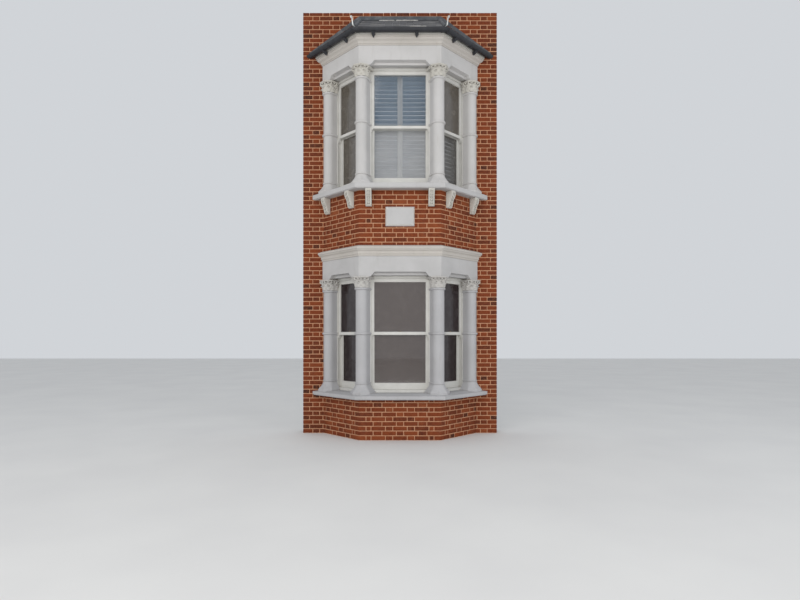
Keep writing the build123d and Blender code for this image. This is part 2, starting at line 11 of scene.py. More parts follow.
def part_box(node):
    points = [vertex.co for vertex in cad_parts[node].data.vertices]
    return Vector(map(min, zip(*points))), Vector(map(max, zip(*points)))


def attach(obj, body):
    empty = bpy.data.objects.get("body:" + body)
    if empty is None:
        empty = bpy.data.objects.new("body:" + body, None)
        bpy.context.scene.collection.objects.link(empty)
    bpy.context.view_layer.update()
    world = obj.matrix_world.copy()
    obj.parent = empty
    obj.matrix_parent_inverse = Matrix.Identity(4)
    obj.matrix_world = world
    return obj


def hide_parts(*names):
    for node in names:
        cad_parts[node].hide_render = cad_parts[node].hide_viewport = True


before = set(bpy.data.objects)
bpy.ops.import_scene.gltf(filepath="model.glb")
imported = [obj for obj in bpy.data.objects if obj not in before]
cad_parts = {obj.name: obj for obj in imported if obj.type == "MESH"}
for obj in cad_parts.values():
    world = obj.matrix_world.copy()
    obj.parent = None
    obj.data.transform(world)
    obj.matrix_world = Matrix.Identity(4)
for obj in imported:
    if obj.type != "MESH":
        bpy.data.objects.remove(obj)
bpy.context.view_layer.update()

random.seed(1887)


def span(cad_node):
    """The lowest and the highest level of a CAD node."""
    low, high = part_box(cad_node)
    return low.z, high.z


# The bay's plan, read from the CAD parts: X along the house wall, the street towards -Y, Z up.
UP = Vector((0, 0, 1))
CANT = radians(45)
HALF_CANT = CANT / 2
FRIEZE_LOW, FRIEZE_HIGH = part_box("ground_frieze")
PROJECTION = -FRIEZE_LOW.y
HALF_FRONT = FRIEZE_HIGH.x - PROJECTION
FACE_LENGTH = PROJECTION / sin(CANT)
BRICK_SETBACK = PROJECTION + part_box("apron_wall")[0].y
WALL_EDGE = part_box("house_wall_right")[1].x
WALL_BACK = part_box("house_wall_right")[1].y
AT_WALL = (Vector((0, -0.0005, 0)), Vector((0, 1, 0)))  # plane where pieces of the bay are cut off
NAMES = {-1: "left", 0: "centre", 1: "right"}

# Levels: foot of the columns, foot and top of their capitals
STOREYS = {
    storey: (span(f"{storey}_columns")[0], *span(f"{storey}_capitals")) for storey in ("ground", "first")
}
EAVES, ROOF_TOP = span("roof_slopes")
WALL_TOP = span("house_wall_left")[1]


# ---------------------------------------------------------------- materials

MIX_FACTOR, MIX_UNDER, MIX_OVER, MIX_RESULT = 0, 6, 7, 2  # the sockets of a Mix node of colours
SOCKETS = {
    "base": "Base Color", "rough": "Roughness", "metal": "Metallic", "specular": "Specular IOR Level",
    "alpha": "Alpha",
}


def plug(tree, socket, value):
    """Links a socket to another one, or sets its own value; a colour comes as three numbers."""
    if isinstance(value, bpy.types.NodeSocket):
        tree.links.new(value, socket)
    else:
        socket.default_value = (*value, 1) if socket.type == "RGBA" else value


def node(tree, kind, inputs, out=0, **settings):
    """Adds a shader node with its settings and its inputs, and gives one of its outputs."""
    made = tree.nodes.new(kind)
    for key, value in settings.items():
        setattr(made, key, value)
    for key, value in inputs.items():
        plug(tree, made.inputs[key], value)
    return made.outputs[out]


def ramp(tree, factor, stops):
    """A colour ramp; each stop is a place and a colour or a grey."""
    made = tree.nodes.new("ShaderNodeValToRGB")
    elements = made.color_ramp.elements
    while len(elements) < len(stops):
        elements.new(0.5)
    for element, (spot, colour) in zip(elements, stops):
        element.position = spot
        element.color = (*colour, 1) if isinstance(colour, tuple) else (colour, colour, colour, 1)
    tree.links.new(factor, made.inputs[0])
    return made.outputs[0]


def texture(tree, metres, kind, values):
    """A noise, the tone of each member, or the ambient occlusion that paints shade into the hollows."""
    if kind == "tone":
        return node(tree, "ShaderNodeAttribute", {}, "Fac", attribute_name="tone")
    if kind == "crevice":
        # painted shade: ambient occlusion, darker in hollows and corners
        distance, samples = values
        return node(tree, "ShaderNodeAmbientOcclusion", {"Distance": distance}, "AO", samples=samples)
    scale, detail, rough, *stretch = values
    if stretch:
        metres = node(tree, "ShaderNodeMapping", {"Vector": metres, "Scale": stretch[0]})
    inputs = {"Vector": metres, "Scale": scale, "Detail": detail, "Roughness": rough}
    return node(tree, "ShaderNodeTexNoise", inputs)


def material(name, textures, base, washes=(), bumps=(), **values):
    """A procedural material, with its textures in metres of the object's frame.

    textures: by name, (scale, detail, roughness) of a noise and its stretch if it has one;
    "tone" needs nothing, and the ambient occlusion that paints shade into the hollows takes (distance,
    samples)
    base: a colour, or a texture and the stops of its colours
    washes: colours laid over the base in turn: (texture, place, amount, place, amount, colour)
    bumps: (texture, strength, distance in metres)
    values: of the shader's sockets; the roughness can be (texture, place, value, place, value)
    """
    made = bpy.data.materials.new(name)
    made.use_nodes = True
    tree = made.node_tree
    shader = tree.nodes["Principled BSDF"]
    metres = node(tree, "ShaderNodeTexCoord", {}, "Object")
    maps = {key: texture(tree, metres, key, found) for key, found in textures.items()}

    def grey(key, low, low_value, high, high_value):
        return ramp(tree, maps[key], ((low, low_value), (high, high_value)))

    if isinstance(base[0], str):
        base = ramp(tree, maps[base[0]], base[1])
    for *stops, colour in washes:
        inputs = {MIX_FACTOR: grey(*stops), MIX_UNDER: base, MIX_OVER: colour}
        base = node(tree, "ShaderNodeMix", inputs, MIX_RESULT, data_type="RGBA")
    if isinstance(values["rough"], tuple):
        values["rough"] = grey(*values["rough"])
    for key, value in {"base": base, **values}.items():
        plug(tree, shader.inputs[SOCKETS[key]], value)
    above = {}
    for key, strength, distance in bumps:
        inputs = {"Height": maps[key], "Strength": strength, "Distance": distance, **above}
        above = {"Normal": node(tree, "ShaderNodeBump", inputs)}
    for key, normal in above.items():
        plug(tree, shader.inputs[key], normal)
    return made


def stone_material(name, pale, shade, dirt, hollow=(0.30, 0.255, 0.195), strength=0.65):
    """Stone under old masonry paint: brushed and chalky, streaked with dirt, painted shade in the hollows,
    flaked at the arrises.
    """
    return material(
        name,
        {"cloud": (2.0, 5, 0.6), "streak": (13, 4, 0.6, (1.0, 1.0, 0.14)), "grit": (260, 3, 0.6),
         "brush": (60, 3, 0.6), "flake": (19, 6, 0.7), "crevice": (0.035, 8)},
        pale,
        (("cloud", 0.36, 0.0, 0.68, 1.0, shade), ("streak", 0.58, 0.0, 0.78, 0.26, dirt),
         ("flake", 0.70, 0.0, 0.72, 0.45, tuple(0.74 * c for c in shade)),
         # painted shade: the hollow colour laid where ambient occlusion finds a hollow, as deep as strength
         ("crevice", 0.22, strength, 0.62, 0.0, hollow)),
        (("flake", 0.30, 0.0012), ("brush", 0.3, 0.0008), ("grit", 0.35, 0.0004)),
        rough=("brush", 0.3, 0.62, 0.7, 0.8), specular=0.25,
    )


def shutter_material(name, pale, shade):
    """White oil paint over fine grain."""
    return material(
        name, {"grain": (30, 3, 0.6, (0.1, 0.1, 1.0)), "cloud": (4, 3, 0.5)}, pale,
        (("cloud", 0.35, 0.0, 0.7, 1.0, shade),), (("grain", 0.2, 0.0005),),
        rough=("grain", 0.3, 0.36, 0.7, 0.46), specular=0.4,
    )


def glass_material(name, alpha, colour, reflection_and_dust=(0.42, 0.42, 0.40), reflection_haze=0.10):
    """Old window glass: slightly wavy, with a faint pale wash that is dust and painted reflection; its dark
    tint is painted shade of the room behind.
    """
    return material(
        name, {"wave": (3.2, 1.0, 0.4), "dust": (14, 5, 0.6)}, colour,
        # the pale wash: dust and painted reflection
        (("dust", 0.45, 0.0, 0.85, reflection_haze, reflection_and_dust),), (("wave", 0.25, 0.006),),
        rough=("dust", 0.4, 0.02, 0.8, 0.07), alpha=alpha, specular=0.62,
    )


def iron_material(name, paint, rust):
    """Gloss paint over cast iron, chalky in places, with rust at the flakes."""
    return material(
        name, {"cloud": (6, 4, 0.6), "flake": (28, 6, 0.7), "fine": (220, 2, 0.6)}, paint,
        (("cloud", 0.35, 0.0, 0.75, 1.0, tuple(1.6 * c + 0.006 for c in paint)),
         ("flake", 0.70 - rust, 0.0, 0.76 - rust, 0.8, (0.13, 0.055, 0.03))),
        (("flake", 0.35, 0.0012), ("fine", 0.25, 0.0004)),
        rough=("flake", 0.4, 0.36, 0.75, 0.8), specular=0.5,
    )


# Red stretchers and headers: each brick has its own tone, with specks, soot and a sanded face
BRICK = material(
    "brick_face",
    {"tone": (), "patch": (7, 4, 0.6), "speck": (150, 2, 0.7), "mottle": (30, 5, 0.62)},
    ("tone", (
        (0.0, (0.052, 0.020, 0.014)), (0.18, (0.103, 0.026, 0.013)), (0.45, (0.160, 0.034, 0.013)),
        (0.72, (0.202, 0.046, 0.016)), (1.0, (0.250, 0.071, 0.028)),
    )),
    (("mottle", 0.42, 0.0, 0.72, 0.62, (0.245, 0.071, 0.029)),
     ("mottle", 0.28, 0.55, 0.44, 0.0, (0.085, 0.028, 0.017)),
     ("speck", 0.60, 0.0, 0.74, 0.5, (0.080, 0.036, 0.026)),
     ("patch", 0.5, 0.0, 0.8, 0.4, (0.110, 0.045, 0.030))),
    (("mottle", 0.5, 0.0018), ("speck", 0.45, 0.0007)),
    rough=("mottle", 0.3, 0.80, 0.7, 0.94), specular=0.12,
)
MORTAR = material(
    "lime_mortar", {"grain": (420, 2, 0.7), "patch": (6, 4, 0.6)},
    ("patch", ((0.3, (0.395, 0.190, 0.105)), (0.55, (0.490, 0.260, 0.150)), (0.75, (0.36, 0.20, 0.122)))),
    (("grain", 0.55, 0.0, 0.72, 0.4, (0.30, 0.18, 0.12)),),
    (("grain", 0.7, 0.001), ("patch", 0.3, 0.004)), rough=0.95, specular=0.2,
)
# Copies of one stone paint, each a step darker from upper to lower to darkest, which goes on the ground sill
# and columns; the cornices take a darker, warmer copy
STONE_UPPER, STONE_LOWER, STONE_DARKEST, STONE_CORNICE, CARVED_UPPER, CARVED_LOWER = (
    stone_material(*row) for row in (
        ("painted_stone_upper", (0.530, 0.518, 0.510), (0.482, 0.472, 0.462), (0.36, 0.335, 0.30)),
        ("painted_stone_lower", (0.485, 0.477, 0.474), (0.433, 0.426, 0.422), (0.30, 0.285, 0.26)),
        ("painted_stone_street", (0.435, 0.431, 0.440), (0.388, 0.384, 0.390), (0.285, 0.27, 0.25)),
        ("painted_stone_cornice", (0.495, 0.465, 0.430), (0.450, 0.420, 0.385), (0.33, 0.295, 0.25)),
        # carved copies: a stronger, dark brown painted shade in the hollows of the carving
        ("carved_stone_upper", (0.560, 0.540, 0.495), (0.510, 0.490, 0.445), (0.38, 0.345, 0.29),
         (0.085, 0.066, 0.045), 0.95),
        ("carved_stone_lower", (0.515, 0.500, 0.478), (0.460, 0.445, 0.422), (0.33, 0.30, 0.26),
         (0.090, 0.072, 0.055), 0.9),
    )
)
# Oil-painted timber: faint grain under the paint, brush marks, a little grime, and painted shade in its
# hollows
JOINERY = material(
    "painted_joinery",
    {"grain": (38, 4, 0.6, (1.0, 1.0, 0.06)), "cloud": (5, 4, 0.55), "grime": (24, 5, 0.65),
     "crevice": (0.03, 6)},
    (0.59, 0.58, 0.55),
    (("cloud", 0.35, 0.0, 0.7, 1.0, (0.53, 0.52, 0.49)), ("grime", 0.6, 0.0, 0.78, 0.35, (0.30, 0.30, 0.27)),
     # painted shade: ambient occlusion darkens the hollows
     ("crevice", 0.22, 0.4, 0.60, 0.0, (0.30, 0.265, 0.20))),
    (("grain", 0.30, 0.0006), ("cloud", 0.2, 0.001)), rough=("grime", 0.3, 0.34, 0.7, 0.52), specular=0.45,
)
SHUTTER = shutter_material("shutter_paint", (0.80, 0.80, 0.79), (0.72, 0.73, 0.73))
# The blades are painted darker than the stiles and rails: painted shade, grey on the shut lower blades and
# bluish on the open upper ones
SHUT_BLADE = shutter_material("shutter_blades_shut_painted_shade", (0.66, 0.67, 0.68), (0.58, 0.60, 0.62))
OPEN_BLADE = shutter_material("shutter_blades_open_painted_shade", (0.52, 0.60, 0.69), (0.44, 0.52, 0.60))
# Each pane's tint, opacity and pale wash are set by its place: painted reflections, and painted shade of the
# dark room behind
GLASS_GROUND, GLASS_GROUND_SIDE, GLASS_FRONT, GLASS_UPPER, GLASS_SHUTTERED, GLASS_SIDE = (
    glass_material(f"window_glass_{name}", *row) for name, *row in (
        ("ground", 0.78, (0.088, 0.069, 0.062), (0.27, 0.24, 0.22), 0.20),
        ("ground_side", 0.89, (0.018, 0.009, 0.010)),
        ("front", 0.22, (0.10, 0.105, 0.115), (0.62, 0.62, 0.66), 0.35),
        ("upper", 0.27, (0.045, 0.075, 0.110), (0.30, 0.33, 0.38), 0.3),
        ("shuttered", 0.45, (0.075, 0.068, 0.060), (0.36, 0.34, 0.31), 0.3),
        ("side", 0.80, (0.100, 0.085, 0.068), (0.36, 0.34, 0.31), 0.3),
    )
)
# Welsh slate with its own tone per slate, moss in the laps and lime runs
SLATE = material(
    "roof_slate",
    {"tone": (), "grain": (55, 5, 0.62, (1.0, 0.35, 0.35)), "moss": (13, 5, 0.66), "lime": (3.1, 5, 0.6)},
    ("tone", (
        (0.0, (0.058, 0.060, 0.066)), (0.45, (0.105, 0.105, 0.112)), (0.8, (0.150, 0.147, 0.150)),
        (1.0, (0.200, 0.190, 0.185)),
    )),
    (("lime", 0.54, 0.0, 0.74, 0.6, (0.33, 0.325, 0.31)),
     ("moss", 0.56, 0.0, 0.70, 0.7, (0.085, 0.090, 0.052))),
    (("grain", 0.6, 0.0015), ("moss", 0.5, 0.002)), rough=("grain", 0.3, 0.5, 0.7, 0.82), specular=0.4,
)
LEAD = material(
    "old_lead", {"cloud": (8, 5, 0.6), "fine": (70, 3, 0.6)},
    ("cloud", ((0.3, (0.055, 0.060, 0.068)), (0.55, (0.095, 0.100, 0.108)), (0.75, (0.18, 0.18, 0.178)))),
    bumps=(("cloud", 0.4, 0.004), ("fine", 0.25, 0.0008)),
    rough=("fine", 0.3, 0.55, 0.7, 0.78), metal=0.25,
)
GUTTER_IRON = iron_material("gutter_iron", (0.015, 0.016, 0.020), 0.02)
PALE_IRON = iron_material("hip_iron", (0.50, 0.51, 0.50), 0.03)
BOARDS = material(
    "pine_boards",
    {"tone": (), "grain": (16, 5, 0.62, (0.08, 1.6, 1.0)), "fine": (120, 3, 0.6, (0.05, 1.0, 1.0))},
    ("grain", ((0.3, (0.18, 0.092, 0.042)), (0.5, (0.29, 0.165, 0.080)), (0.7, (0.38, 0.235, 0.125)))),
    (("tone", 0.0, 0.0, 1.0, 0.5, (0.17, 0.09, 0.045)),),
    (("grain", 0.3, 0.0008), ("fine", 0.3, 0.0004)), rough=("fine", 0.3, 0.38, 0.7, 0.6), specular=0.4,
)
PLASTER = material(
    "wall_plaster", {"cloud": (3, 4, 0.55), "roller": (150, 3, 0.6)}, (0.70, 0.69, 0.66),
    (("cloud", 0.3, 0.0, 0.7, 1.0, (0.63, 0.62, 0.585)),),
    (("cloud", 0.25, 0.004), ("roller", 0.3, 0.0005)),
    rough=("roller", 0.3, 0.82, 0.7, 0.92), specular=0.25,
)
CEMENT = material(
    "cement_fillet", {"cloud": (12, 5, 0.65), "grain": (190, 3, 0.7)},
    ("cloud", ((0.3, (0.30, 0.285, 0.26)), (0.55, (0.46, 0.445, 0.42)), (0.75, (0.56, 0.55, 0.53)))),
    bumps=(("cloud", 0.6, 0.004), ("grain", 0.6, 0.001)),
    rough=("grain", 0.3, 0.85, 0.7, 0.96), specular=0.15,
)
BRASS = material(
    "aged_brass", {"cloud": (60, 4, 0.6)}, ("cloud", ((0.35, (0.62, 0.43, 0.16)), (0.7, (0.34, 0.23, 0.10)))),
    rough=("cloud", 0.3, 0.22, 0.7, 0.45), metal=1.0,
)
FLOOR = material(
    "studio_floor", {"cloud": (0.7, 3, 0.5), "fine": (90, 2, 0.5)}, (0.74, 0.735, 0.72),
    (("cloud", 0.3, 0.0, 0.7, 1.0, (0.70, 0.695, 0.685)),),
    rough=("fine", 0.3, 0.75, 0.7, 0.88), specular=0.2,
)


# ---------------------------------------------------------------- geometry helpers

SAME_POINT = 0.00002
FLAT_ANGLE = radians(0.6)
NEAR = 0.001


def arc(first, last, steps):
    """Evenly spaced values from the first to the last."""
    return [first + (last - first) * i / steps for i in range(steps + 1)]


def axes_matrix(x, y, z, origin):
    """Matrix of three directions and an origin."""
    return Matrix([(*v, w) for v, w in ((x, 0), (y, 0), (z, 0), (origin, 1))]).transposed()


def face_matrix(side, out=0.0):
    """Matrix of a face of the bay: x along it from its middle, y up, z outwards."""
    turn = side * CANT
    along, outwards = Vector((cos(turn), sin(turn), 0)), Vector((sin(turn), -cos(turn), 0))
    middle = (side * (HALF_FRONT + PROJECTION / 2), -PROJECTION / 2, 0) if side else (0, -PROJECTION, 0)
    return axes_matrix(along, UP, outwards, Vector(middle) + outwards * out)


def plan_matrix(side):
    """Matrix of a face for blocks: x along it, y back from it towards the room, z up."""
    face = face_matrix(side)
    return axes_matrix(face.col[0].xyz, -face.col[2].xyz, UP, face.col[3].xyz)


def bay_outline(nosing):
    """Corners of the canted outline moved outwards by nosing, from left to right."""
    front = HALF_FRONT + nosing * tan(HALF_CANT)
    wide = HALF_FRONT + PROJECTION + nosing * (1 + tan(HALF_CANT))
    depth = -PROJECTION - nosing
    return [Vector(p) for p in ((-wide, 0.0), (-front, depth), (front, depth), (wide, 0.0))]


def rectangle(x0, x1, y0, y1):
    """Footprint between two pairs of limits."""
    return [Vector(p) for p in ((x0, y0), (x1, y0), (x1, y1), (x0, y1))]


@contextmanager
def edited(mesh):
    """The mesh opened for edits, which are written back at the end."""
    bm = bmesh.new()
    bm.from_mesh(mesh)
    yield bm
    bm.to_mesh(mesh)
    bm.free()


def face_outwards(mesh):
    with edited(mesh) as bm:
        bmesh.ops.recalc_face_normals(bm, faces=bm.faces)


def join_facets(bm):
    """Joins the flat facets of a CAD mesh."""
    bmesh.ops.remove_doubles(bm, verts=bm.verts, dist=SAME_POINT)
    bmesh.ops.dissolve_limit(bm, angle_limit=FLAT_ANGLE, verts=bm.verts, edges=bm.edges)
    bmesh.ops.recalc_face_normals(bm, faces=bm.faces)


def bisect(bm, point, direction, clear_outer=False):
    """Cuts the faces along a plane, and gives the new edges."""
    everything = bm.verts[:] + bm.edges[:] + bm.faces[:]
    found = bmesh.ops.bisect_plane(
        bm, geom=everything, plane_co=point, plane_no=direction, clear_outer=clear_outer,
    )["geom_cut"]
    return [e for e in found if isinstance(e, bmesh.types.BMEdge)]


def smooth(mesh, angle):
    """Shades a mesh smooth, apart from its edges over an angle in degrees."""
    mesh.polygons.foreach_set("use_smooth", [True] * len(mesh.polygons))
    mesh.set_sharp_from_angle(angle=radians(angle))


def place(name, mesh, record_slot, *nodes):
    """Adds the piece to the scene on the root body, standing for the CAD nodes that it replaces."""
    piece = bpy.data.objects.new(name, mesh)
    bpy.context.scene.collection.objects.link(piece)
    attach(piece, "root")
    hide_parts(*nodes)
    return piece


def cad_copy(cad_node, *materials):
    """A copy of a CAD node's mesh with other materials."""
    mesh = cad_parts[cad_node].data.copy()
    mesh.materials.clear()
    for each in materials:
        mesh.materials.append(each)
    return mesh


def soften(cad_node, material, record_slot, width=0.003, segments=2, angle=32):
    """A copy of a CAD node with its flat facets joined, its arrises rounded and its curves shaded."""
    mesh = cad_copy(cad_node, material)
    with edited(mesh) as bm:
        join_facets(bm)
    smooth(mesh, angle)
    piece = place(f"{cad_node}_finished", mesh, record_slot, cad_node)
    bevel = piece.modifiers.new("arrises", "BEVEL")
    bevel.width = width
    bevel.segments = segments
    bevel.limit_method = "ANGLE"
    bevel.angle_limit = radians(angle)
    bevel.use_clamp_overlap = True
    bevel.harden_normals = True
    return piece


class Shape:
    """Collects the faces of one piece, with a tone for each of its members."""

    def __init__(self):
        self.verts, self.faces, self.tones, self.slots = [], [], [], []

    def add(self, verts, faces, tone=0.5, slot=0, matrix=None):
        base = len(self.verts)
        points = [Vector(v) for v in verts]
        if matrix is not None:
            points = [matrix @ p for p in points]
        self.verts.extend(points)
        self.tones.extend([tone] * len(points))
        self.faces.extend([tuple(base + i for i in face) for face in faces])
        self.slots.extend([slot] * len(faces))

    def build(self, name, materials, record_slot, cad_node, smooth_angle=None):
        mesh = bpy.data.meshes.new(name)
        mesh.from_pydata([tuple(v) for v in self.verts], [], self.faces)
        tone = mesh.attributes.new("tone", "FLOAT", "POINT")
        tone.data.foreach_set("value", self.tones)
        mesh.polygons.foreach_set("material_index", self.slots)
        for each in materials if isinstance(materials, tuple) else (materials,):
            mesh.materials.append(each)
        face_outwards(mesh)
        mesh.update()
        if smooth_angle is not None:
            smooth(mesh, smooth_angle)
        return place(name, mesh, record_slot, cad_node)


def skin(rows, width, ring=True, loop=False, capped=True):
    """Faces over rows of points: the caps on the first and the last row, then those between the rows.

    A ring closes each row on itself; a loop joins the last row to the first, and has no caps.
    """
    faces = []
    if capped and not loop:
        faces = [tuple(range(width))[::-1], tuple(range((rows - 1) * width, rows * width))]
    for row in range(rows if loop else rows - 1):
        near, far = row * width, (row + 1) % rows * width
        for i in range(width if ring else width - 1):
            j = (i + 1) % width
            faces.append((near + i, near + j, far + j, far + i))
    return faces


def offset_polygon(points, inset):
    """Moves the sides of a counterclockwise polygon inwards."""
    moved = []
    for i, point in enumerate(points):
        before = (point - points[i - 1]).normalized()
        after = (points[(i + 1) % len(points)] - point).normalized()
        n1, n2 = Vector((-before.y, before.x)), Vector((-after.y, after.x))
        moved.append(point + (n1 + n2) * (inset / (1 + n1.dot(n2))))
    return moved


def signed_area(points):
    """Area of a polygon, positive if it runs counterclockwise."""
    return sum(a.x * b.y - b.x * a.y for a, b in zip(points, points[1:] + points[:1])) / 2


def clip(points, origin, inwards):
    """Part of a convex polygon on the inner side of a line."""
    kept = []
    for a, b in zip(points, points[1:] + points[:1]):
        da, db = (a - origin).dot(inwards), (b - origin).dot(inwards)
        if da >= 0:
            kept.append(a)
        if (da >= 0) != (db >= 0):
            kept.append(a + (b - a) * (da / (da - db)))
    return kept


def clip_to(points, outline, inset=0.0):
    """Part of a convex polygon inside a counterclockwise outline, which is drawn in by inset."""
    for point, after in zip(outline, outline[1:] + outline[:1]):
        edge = (after - point).normalized()
        inwards = Vector((-edge.y, edge.x))
        points = clip(points, point + inwards * inset, inwards)
    return points


def join_equal(verts, faces):
    """Merges the points of one block that coincide, and drops the faces that this closes up."""
    order = {}
    index = [order.setdefault(tuple(round(c, 7) for c in v), len(order)) for v in verts]
    joined = []
    for face in faces:
        ring = [index[i] for i in face]
        ring = [i for k, i in enumerate(ring) if i != ring[k - 1]]
        if len(ring) > 2:
            joined.append(ring)
    return list(order), joined


def prism(shape, points, low, high, bevel, tone=0.5, matrix=None, jitter=0.0):
    """A block with rounded arrises on a polygon footprint; matrix maps (x, y, height)."""
    if signed_area(points) < 0:
        points = points[::-1]
    outer, inner = [], []
    for i, (point, inset) in enumerate(zip(points, offset_polygon(points, bevel))):
        before, after = points[i - 1] - point, points[(i + 1) % len(points)] - point
        if before.length < 3 * bevel or after.length < 3 * bevel:
            outer.append(point)
            inner.append(inset)
        else:
            outer += [point + before.normalized() * bevel, point + after.normalized() * bevel]
            inner += [inset] * 2
    rings = ((inner, low), (outer, low + bevel), (outer, high - bevel), (inner, high))
    verts = [
        tuple(c + random.uniform(-jitter, jitter) for c in (p.x, p.y, z)) for ring, z in rings for p in ring
    ]
    shape.add(*join_equal(verts, skin(4, len(outer))), tone, matrix=matrix)


def block(shape, matrix, x, y, z, bevel=0.0012):
    """A small squared block between pairs of limits."""
    prism(shape, rectangle(*x, *y), *z, bevel, matrix=matrix)


def loft(shape, rings, matrix=None):
    """Closed skin over rings of equal count: (points, level)."""
    verts = [(p.x, p.y, level) for points, level in rings for p in points]
    shape.add(verts, skin(len(rings), len(rings[0][0])), matrix=matrix)


def tube(shape, points, radius, sides=8, closed=False, scale_at=None, flat=None, thickness=1.0):
    """A bar along a line of points; flat is the direction square to a line that stays in one plane."""
    points = [Vector(p) for p in points]
    n = len(points)
    verts = []
    for i, point in enumerate(points):
        ahead = points[(i + 1) % n] if closed else points[min(i + 1, n - 1)]
        behind = points[i - 1] if closed else points[max(i - 1, 0)]
        run = (ahead - behind).normalized()
        across = flat or run.cross(UP)
        if across.length < 0.05:
            across = run.cross(Vector((1, 0, 0)))
        across = across.normalized()
        other = across.cross(run).normalized() * thickness
        r = radius * (scale_at(i / (n - 1)) if scale_at else 1)
        for a in arc(0, 2 * pi, sides)[:-1]:
            verts.append(point + across * cos(a) * r + other * sin(a) * r)
    shape.add(verts, skin(n, sides, loop=closed))


def bead(shape, matrix, centre, radii, rings=6, sides=10):
    """A small rounded lump."""
    verts = []
    for a in arc(0, pi, rings):
        for b in arc(0, 2 * pi, sides)[:-1]:
            unit = (sin(a) * cos(b), sin(a) * sin(b), cos(a))
            verts.append(tuple(c + r * u for c, r, u in zip(centre, radii, unit)))
    shape.add(*join_equal(verts, skin(rings + 1, sides)), matrix=matrix)


def clip_piece(piece, planes, smooth_angle):
    """Cuts off what lies beyond each plane (point, direction) and closes the cuts."""
    with edited(piece.data) as bm:
        for point, direction in planes:
            bmesh.ops.edgeloop_fill(bm, edges=bisect(bm, point, direction, clear_outer=True))
    smooth(piece.data, smooth_angle)


# ---------------------------------------------------------------- brickwork

BRICK_LONG = 0.215
BRICK_SHORT = 0.1025
BRICK_DEEP = 0.1025
JOINT = 0.013
COURSE = 0.0746
BRICK_HEIGHT = COURSE - JOINT + 0.0005
JOINT_RECESS = 0.0045
BRICK_BEVEL = 0.0035
BRICK_UNEVEN = 0.0015
BRICK_JITTER = 0.0006
THINNEST_BRICK = 0.018
SHORTEST_BRICK = 0.04
SLIVER = 0.004
BED_GAP = 0.001
CUT_END_GAP = 0.002
INNER_LEAF = BRICK_DEEP + 0.010
BRICK_TONE = (0.52, 0.17)
BURNT_HEADERS = 0.16
BURNT = 0.30
WALL_DARKENING = 0.12
WALL_BEHIND_BAY = 0.06
OVER_BAY = 0.056
END_SETBACK = 0.0015
BACK_SETBACK = 0.012
TOP_RECESS = 0.006
BAY_INSIDE = 0.240
BANDS = {"plinth": (0.0, span("plinth_wall")[1]), "apron": span("apron_wall")}


def brick_tone(header):
    """A brick's tone from 0, dark, to 1; some headers are burnt darker."""
    tone = random.gauss(*BRICK_TONE)
    if header and random.random() < BURNT_HEADERS:
        tone -= BURNT
    return min(max(tone, 0.0), 1.0)


def course_levels(low, high):
    """Bricks of the wall's one run of courses that lie between two levels: number, foot and top."""
    for number in range(int(low / COURSE), int(high / COURSE) + 2):
        foot = number * COURSE + JOINT / 2
        foot, top = max(foot, low + BED_GAP), min(foot + BRICK_HEIGHT, high - BED_GAP)
        if top - foot > THINNEST_BRICK:
            yield number, foot, top


def flemish(run_from, run_to, middle, number):
    """Bricks of one course: stretchers and headers in turn, each course centred on the other's."""
    half_period = (BRICK_LONG + BRICK_SHORT) / 2 + JOINT
    pieces = []
    for k in range(-24, 25):
        header = (k + number) % 2 == 1
        half = (BRICK_SHORT if header else BRICK_LONG) / 2
        a, b = max(middle + k * half_period - half, run_from), min(middle + k * half_period + half, run_to)
        if b - a > SLIVER:
            pieces.append([a, b, header])
    if len(pieces) > 1 and pieces[0][1] - pieces[0][0] < SHORTEST_BRICK:
        pieces[1][0] = pieces[0][0]
        pieces.pop(0)
    if len(pieces) > 1 and pieces[-1][1] - pieces[-1][0] < SHORTEST_BRICK:
        pieces[-2][1] = pieces[-1][1]
        pieces.pop()
    return pieces


def lay_brick(shape, footprint, foot, top, header):
    foot, top = foot + random.uniform(0, BRICK_UNEVEN), top - random.uniform(0, BRICK_UNEVEN)
    prism(shape, footprint, foot, top, BRICK_BEVEL, brick_tone(header), jitter=BRICK_JITTER)


def lay_line(shape, start, along, outwards, run, middle, course):
    """One course of a straight face, which runs between two distances along it."""
    number, foot, top = course
    back = -outwards * BRICK_DEEP
    for a, b, header in flemish(*run, middle, number):
        p, q = start + along * a, start + along * b
        lay_brick(shape, [p, q, q + back, p + back], foot, top, header)


def lay_bay_band(name, low, high):
    """The three faces of a brick band, with squint bricks round both corners."""
    bricks = Shape()
    outline = bay_outline(-BRICK_SETBACK)
    wall_run = (outline[0] - outline[1]).length
    for course in course_levels(low, high):
        number, foot, top = course
        legs = (BRICK_SHORT, BRICK_LONG) if number % 2 else (BRICK_LONG, BRICK_SHORT)
        for side, wall_end, corner in ((-1, outline[0], outline[1]), (1, outline[3], outline[2])):
            along = (wall_end - corner).normalized()
            diagonal = Vector((-side * sin(HALF_CANT), cos(HALF_CANT))) * (BRICK_DEEP / cos(HALF_CANT))
            inwards = Vector((-side * sin(CANT), cos(CANT)))
            a, b = corner + along * legs[0], corner + Vector((-side, 0)) * legs[1]
            squint = [
                a, corner, b, b + Vector((0, BRICK_DEEP)), corner + diagonal, a + inwards * BRICK_DEEP,
            ]
            lay_brick(bricks, squint, foot, top, False)
            run = (legs[0] + JOINT, wall_run - CUT_END_GAP)
            lay_line(bricks, corner, along, -inwards, run, wall_run / 2, course)
        half = outline[2].x - legs[1] - JOINT
        middle = Vector((0, outline[1].y))
        lay_line(bricks, middle, Vector((1, 0)), Vector((0, -1)), (-half, half), 0.0, course)
    clip_piece(bricks.build(f"{name}_bricks", BRICK, "brickwork", f"{name}_wall"), (AT_WALL,), 50)


